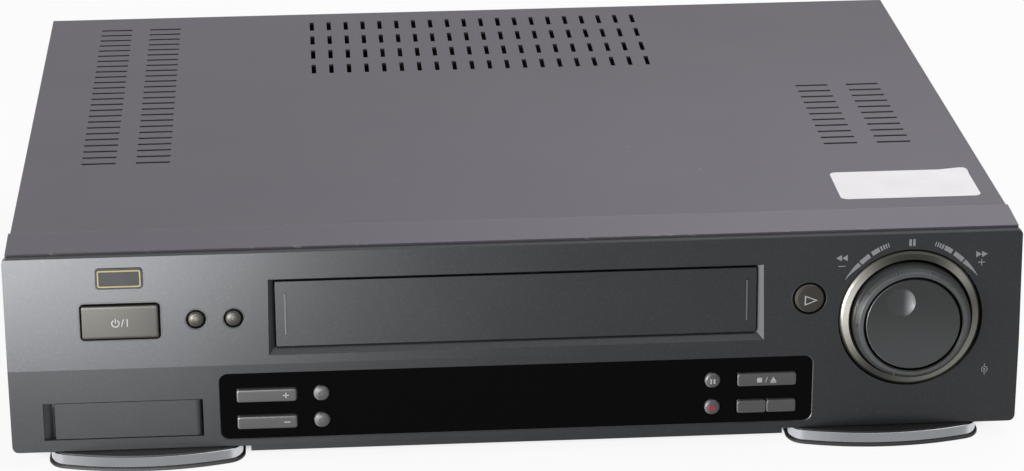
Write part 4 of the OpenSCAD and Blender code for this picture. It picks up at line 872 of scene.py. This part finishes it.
# %% [markdown]
# ## Signs on the window's keys
# Plus and minus for the channels, two bars for pause, a red dot for record, a square and a bar-topped
# triangle for stop and eject. The keys lean with the lower face, so the signs are drawn on its plane.

# %% Window key signs
def on_key(name, shapes_at, finish, lift=0.0):
    u, v, _, _, front = place_on(lower_plane, name + "_key")
    printed(name + "_sign", lower_plane, shapes_at(u, v), finish, name + "_button", front + lift)


SIGN_LONG, SIGN_THICK = 2.4, 0.38
on_key("channel_up", lambda u, v: [
    bar(u + 7.6, v, SIGN_LONG, SIGN_THICK), bar(u + 7.6, v, SIGN_THICK, SIGN_LONG)], white_ink, SKIN_FRONT)
on_key("channel_down", lambda u, v: [bar(u + 7.8, v, SIGN_LONG, SIGN_THICK)], white_ink, SKIN_FRONT)
on_key("pause", lambda u, v: [bar(u + s * 0.66, v, 0.72, 2.1) for s in (-1, 1)], white_ink)
on_key("record", lambda u, v: [arc(u, v, 1.25, 0, 345, 23)], red_ink)
on_key("stop_eject", lambda u, v: [
    bar(u - 2.9, v, 2.0, 2.0), bar(u - 0.2, v, 0.28, 2.4, 0.8),
    triangle(u + 2.6, v - 0.1, 1.35, 90), bar(u + 2.6, v - 1.15, 2.3, 0.4)], white_ink, SKIN_FRONT)
print("key signs printed")

# %% [markdown]
# ## Rims
# A moulded hole has a small chamfer where the tool closes, and it catches a line of light. Round each of
# the upper keys a thin rim, of the front's own lacquer, stands a twentieth of a millimetre proud. Between
# rim and key a black sheet stands for the shade in the gap: painted shade.

# %% Rims round the keys
def smooth(piece):
    for polygon in piece.data.polygons:
        polygon.use_smooth = True


def turned_rim(name, plane, cu, cv, profile, finish, body, steps=64):
    """A ring whose section is `profile`, a closed list of (radius, out)."""
    def circle(radius):
        return arc(cu, cv, radius, 0, 360 * (1 - 1 / steps), steps - 1)

    smooth(finish_piece(name, loft(plane, circle, profile, False), finish, body))


print("turned rims ready")

# %% Rims and painted gap shade of the round keys
KEY_GAP = 0.5
GAP_SHADE_WIDE = 0.35
RIM_SECTION = ((0.42, -0.3), (0.57, 0.05), (0.82, 0.05), (1.02, -0.1))


def gap_shade_section(key_edge, slack):
    """The section of the painted gap shade: a flat collar round the hole and a tube into the gap, `slack`
    off the key.
    """
    hole = key_edge + KEY_GAP
    return [(key_edge + slack, -0.8), (hole, 0.02), (hole + GAP_SHADE_WIDE, 0.04), (hole + GAP_SHADE_WIDE, -0.4),
            (hole + 0.05, -2.4), (key_edge + slack, -2.4)]


for name, radius in (("timer_key", 3.1), ("sound_key", 3.1), ("play_key", 5.8)):
    x, z, _ = key_centre(name)
    section = [(radius + KEY_GAP + grow, depth) for grow, depth in RIM_SECTION]
    turned_rim(name + "_rim", upper_plane, x, on_upper(z), section, rim_lacquer, "chassis")
    turned_rim(name + "_gap_shade", upper_plane, x, on_upper(z), gap_shade_section(radius, 0.1), gap_shade_black,
               "chassis")
print("round keys have rims and liners")

# %% Rim and painted gap shade of the standby key
_, _, cap_w, cap_h, _ = place_on(upright, "standby_key")


def round_standby(grow):
    return rounded_bar(cap_w + 2 * grow, cap_h + 2 * grow, 1.0 + grow, 6, standby_x, on_upper(standby_z))


rim = [(KEY_GAP + grow, depth) for grow, depth in RIM_SECTION]
finish_piece("standby_rim", loft(upper_plane, round_standby, rim, False), rim_lacquer, "chassis")
gap_shade = loft(upper_plane, round_standby, gap_shade_section(0.0, 0.12), False)
finish_piece("standby_gap_shade", gap_shade, gap_shade_black, "chassis")
print("standby rim round", round(cap_w, 1), "x", round(cap_h, 1), "mm")

# %% Chamfer round the window
w_u, w_v, w_width, w_height, w_front = place_on(lower_plane, "display_window")
WINDOW_CORNER = 3.5


def round_window(grow):
    return rounded_bar(w_width + 2 * grow, w_height + 2 * grow, WINDOW_CORNER + grow, 10, w_u, w_v)


chamfer = [(-0.05, -0.40), (0.40, 0.03), (0.62, 0.03), (0.75, -0.10), (0.2, -0.45)]
finish_piece("window_chamfer", loft(lower_plane, round_window, chamfer, False), front_plastic, "chassis")
print("window", round(w_width, 1), "x", round(w_height, 1), "front", round(w_front, 2))

# %% [markdown]
# ## The badge plate, the ridges on the door and the paper label
# The badge is a bare dark plate with a thin gold edge. The door has a raised line at each end, drawn
# lighter as a painted highlight. The label is a sheet of paper pasted on the cover: its corners are
# rounded, one lifts, and it is draped over a faint air bubble, so it is a grid of points and not a flat
# card.

# %% Badge plate
badge_x, badge_z, badge_w, badge_h = -154.95, 79.05, 18.5, 8.6
mesh = bmesh.new()
outline = rounded_bar(badge_w, badge_h, 1.4, 6, badge_x, on_upper(badge_z))
add_plate(mesh, upper_plane, 0.5, -0.3, outline)
finish_piece("badge_plate", mesh, dark_plate, "chassis", 0.15)
mesh = bmesh.new()
edge = rounded_bar(badge_w - 1.6, badge_h - 1.6, 0.9, 6, badge_x, on_upper(badge_z))
edge_in = rounded_bar(badge_w - 2.8, badge_h - 2.8, 0.4, 6, badge_x, on_upper(badge_z))
add_plate(mesh, upper_plane, 0.75, 0.3, edge, edge_in)
finish_piece("badge_edge", mesh, gold_ink, "chassis", 0.08)
print("badge plate", badge_w, "x", badge_h, "mm")

# %% Ridges on the door, with a painted highlight
RIDGE_X, RIDGE_Z, RIDGE_W, RIDGE_H = 90.9, 61.75, 0.55, 17.0
for side in (-1, 1):
    mesh = bmesh.new()
    plane = flat_plane(FACE_Y + 0.65)
    add_plate(mesh, plane, 0.05, -0.2, rounded_bar(RIDGE_W, RIDGE_H, 0.25, 4, side * RIDGE_X, RIDGE_Z))
    name = ("left" if side < 0 else "right") + "_door_ridge"
    finish_piece(name, mesh, ridge_highlight_grey, "door")
print("ridges at", RIDGE_X, "mm from the middle")

# %% Form of the paper label
LABEL_X, LABEL_Y = (133.6, 190.6), (36.9, 71.0)
label_w, label_d = LABEL_X[1] - LABEL_X[0], LABEL_Y[1] - LABEL_Y[0]
label_cx, label_cy = sum(LABEL_X) / 2, FACE_Y + sum(LABEL_Y) / 2
LABEL_Z, LABEL_CORNER = 90.12, 3.0
BUBBLE_HIGH, LIFT_HIGH, LIFT_START = 0.25, 0.9, 0.80


def on_sheet(u, v):
    """Draws a point of a square corner in to the rounded one."""
    straight_u, straight_v = label_w / 2 - LABEL_CORNER, label_d / 2 - LABEL_CORNER
    over_u, over_v = abs(u) - straight_u, abs(v) - straight_v
    if over_u <= 0 or over_v <= 0:
        return u, v
    shrink = max(over_u, over_v) / math.hypot(over_u, over_v)
    return math.copysign(straight_u + over_u * shrink, u), math.copysign(straight_v + over_v * shrink, v)


def sheet_height(u, v):
    """An air bubble near the middle, and one corner that lifts."""
    bubble = BUBBLE_HIGH * math.exp(-((u + 6) / 14) ** 2 - ((v - 4) / 7) ** 2)
    lift = LIFT_HIGH * max(0.0, (u / label_w + v / label_d) - LIFT_START) / (1 - LIFT_START)
    return LABEL_Z + bubble + lift


print("label lies at", LABEL_Z, "mm")

# %% Sheet of the paper label
COLUMNS, ROWS = 40, 24
mesh = bmesh.new()
rows = []
for j in range(ROWS + 1):
    line = [on_sheet((i / COLUMNS - 0.5) * label_w, (j / ROWS - 0.5) * label_d) for i in range(COLUMNS + 1)]
    rows.append([mesh.verts.new(Vector((label_cx + u, label_cy + v, sheet_height(u, v))) * MM)
                 for u, v in line])
for near, far in zip(rows, rows[1:]):
    for i in range(COLUMNS):
        mesh.faces.new((near[i], near[i + 1], far[i + 1], far[i]))
label = finish_piece("paper_label", mesh, label_paper, "chassis")
thick = label.modifiers.new("paper_thickness", "SOLIDIFY")
thick.thickness, thick.offset = 0.1 * MM, -1
print("label", round(label_w, 1), "x", round(label_d, 1), "mm")

# %% [markdown]
# ## Rings in the sockets
# Behind the flap each phono socket shows a coloured collar, so that the plugs find their places.

# %% Socket collars
block_low, block_high = (corner.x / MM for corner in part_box("front_sockets"))
SOCKET_INSET = 7.0
SOCKETS = (block_low + SOCKET_INSET, (block_low + block_high) / 2, block_high - SOCKET_INSET)
SOCKET_UP, POCKET_DEEP = -22.3, 13.0
COLLAR_SECTION = ((4.15, -0.1), (4.15, 1.6), (4.7, 1.6), (5.1, 1.1), (5.1, -0.1))
collar_tints = {"yellow": shade(196, 160, 30), "white": shade(206, 206, 202), "red": shade(160, 34, 38)}
for x, (tint, color) in zip(SOCKETS, collar_tints.items()):
    collar = plain(tint + "_collar", color, 0.45, 0.4, 0.005)
    section = [(radius, out - POCKET_DEEP) for radius, out in COLLAR_SECTION]
    turned_rim(tint + "_socket_collar", lower_plane, x, SOCKET_UP, section, collar, "chassis",
               40)
print("collars at", [round(x, 1) for x in SOCKETS])

# %% [markdown]
# ## Feet with rounded ends
# The solids of the two front feet have flat corners at their ends. The real band is bent round them, so the
# pads and the band are lofted again in the same place, from the same arc, with their corners filleted.

# %% Outline of a foot
FOOT_X, FOOT_HALF, FOOT_DEEP = 147.2, 38.0, 40.0
ARC_R, ARC_Y = 102.0, 96.6
CORNERS = ((35.54, 0.98, 7.5), (FOOT_HALF, 6.0, 9.5), (FOOT_HALF, FOOT_DEEP, 0.0))


def foot_outline(grow):
    """The foot's outline seen from above, its corners filleted, pushed out by `grow`."""
    arc_half = 31.5
    path = [(x, ARC_Y - math.sqrt(ARC_R ** 2 - x ** 2), 0.0)
            for x in (arc_half * (i / 12 - 1) for i in range(25))]
    path += CORNERS
    path += [(-x, y, r) for x, y, r in reversed(CORNERS)]
    bent = []
    for i, (x, y, r) in enumerate(path):
        here = Vector((x, y))
        if not r:
            bent.append(here)
            continue
        before, after = Vector(path[i - 1][:2]), Vector(path[(i + 1) % len(path)][:2])
        coming, going = (here - before).normalized(), (after - here).normalized()
        reach = r * math.tan(coming.angle(going) / 2)
        start, end = here - coming * reach, here + going * reach
        bent += [start.lerp(here, t).lerp(here.lerp(end, t), t) for t in (j / 8 for j in range(9))]
    pushed = []
    for i, here in enumerate(bent):
        coming = (here - bent[i - 1]).normalized()
        going = (bent[(i + 1) % len(bent)] - here).normalized()
        outward = Vector((coming.y + going.y, -coming.x - going.x)).normalized()
        pushed.append(here + outward * grow / max(0.3, outward.dot(Vector((going.y, -going.x)))))
    return [(p.x, p.y) for p in pushed]


print("a foot's outline has", len(foot_outline(0)), "points")

# %% Pads and bright bands
PAD = ((-0.85, 0.7), (-0.85, 6.0))
FLANGE = ((0.6, 0.0), (0.88, 0.3), (0.88, 1.15), (0.6, 1.4))
BAND = ((-0.15, 1.4), (0.0, 1.55), (0.0, 5.45), (-0.15, 5.6), (-0.8, 5.6), (-0.8, 1.4))
bands = bmesh.new()
feet = []
for side, name in ((-1, "left_foot"), (1, "right_foot")):
    under = Matrix.Translation((side * FOOT_X, FACE_Y, 0))
    loft(under, foot_outline, BAND, False, bands)
    pad = loft(under, foot_outline, FLANGE, True)
    loft(under, foot_outline, PAD, True, pad)
    feet.append(finish_piece(name + "_pad", pad, black_plastic, "chassis"))
    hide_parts(name)
feet.append(finish_piece("foot_bands", bands, foot_bright, "chassis"))
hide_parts("foot_trims")
for piece in feet:
    smooth(piece)
    piece.data.set_sharp_from_angle(angle=math.radians(25))
print("feet:", [len(piece.data.polygons) for piece in feet], "faces")

# %% [markdown]
# ## Painted shade behind the rear slots
# Light must not shine straight through a machine. Behind the slots of the rear panel lies a thin black
# plate: painted shade that stands for the dark inside of the machine.

# %% Painted shade behind the slots
SLOTS_X, SLOTS_Z = (-117.0, -44.0), (55.0, 77.0)
panel_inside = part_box("rear_panel")[0].y / MM
vent_shade = bmesh.new()
outline = bar(sum(SLOTS_X) / 2, sum(SLOTS_Z) / 2, SLOTS_X[1] - SLOTS_X[0], SLOTS_Z[1] - SLOTS_Z[0])
add_plate(vent_shade, flat_plane(panel_inside), 0.5, 0.1, outline)
finish_piece("vent_shade_sheet", vent_shade, gap_shade_black, "chassis")
print("gauze at", round(panel_inside, 1))
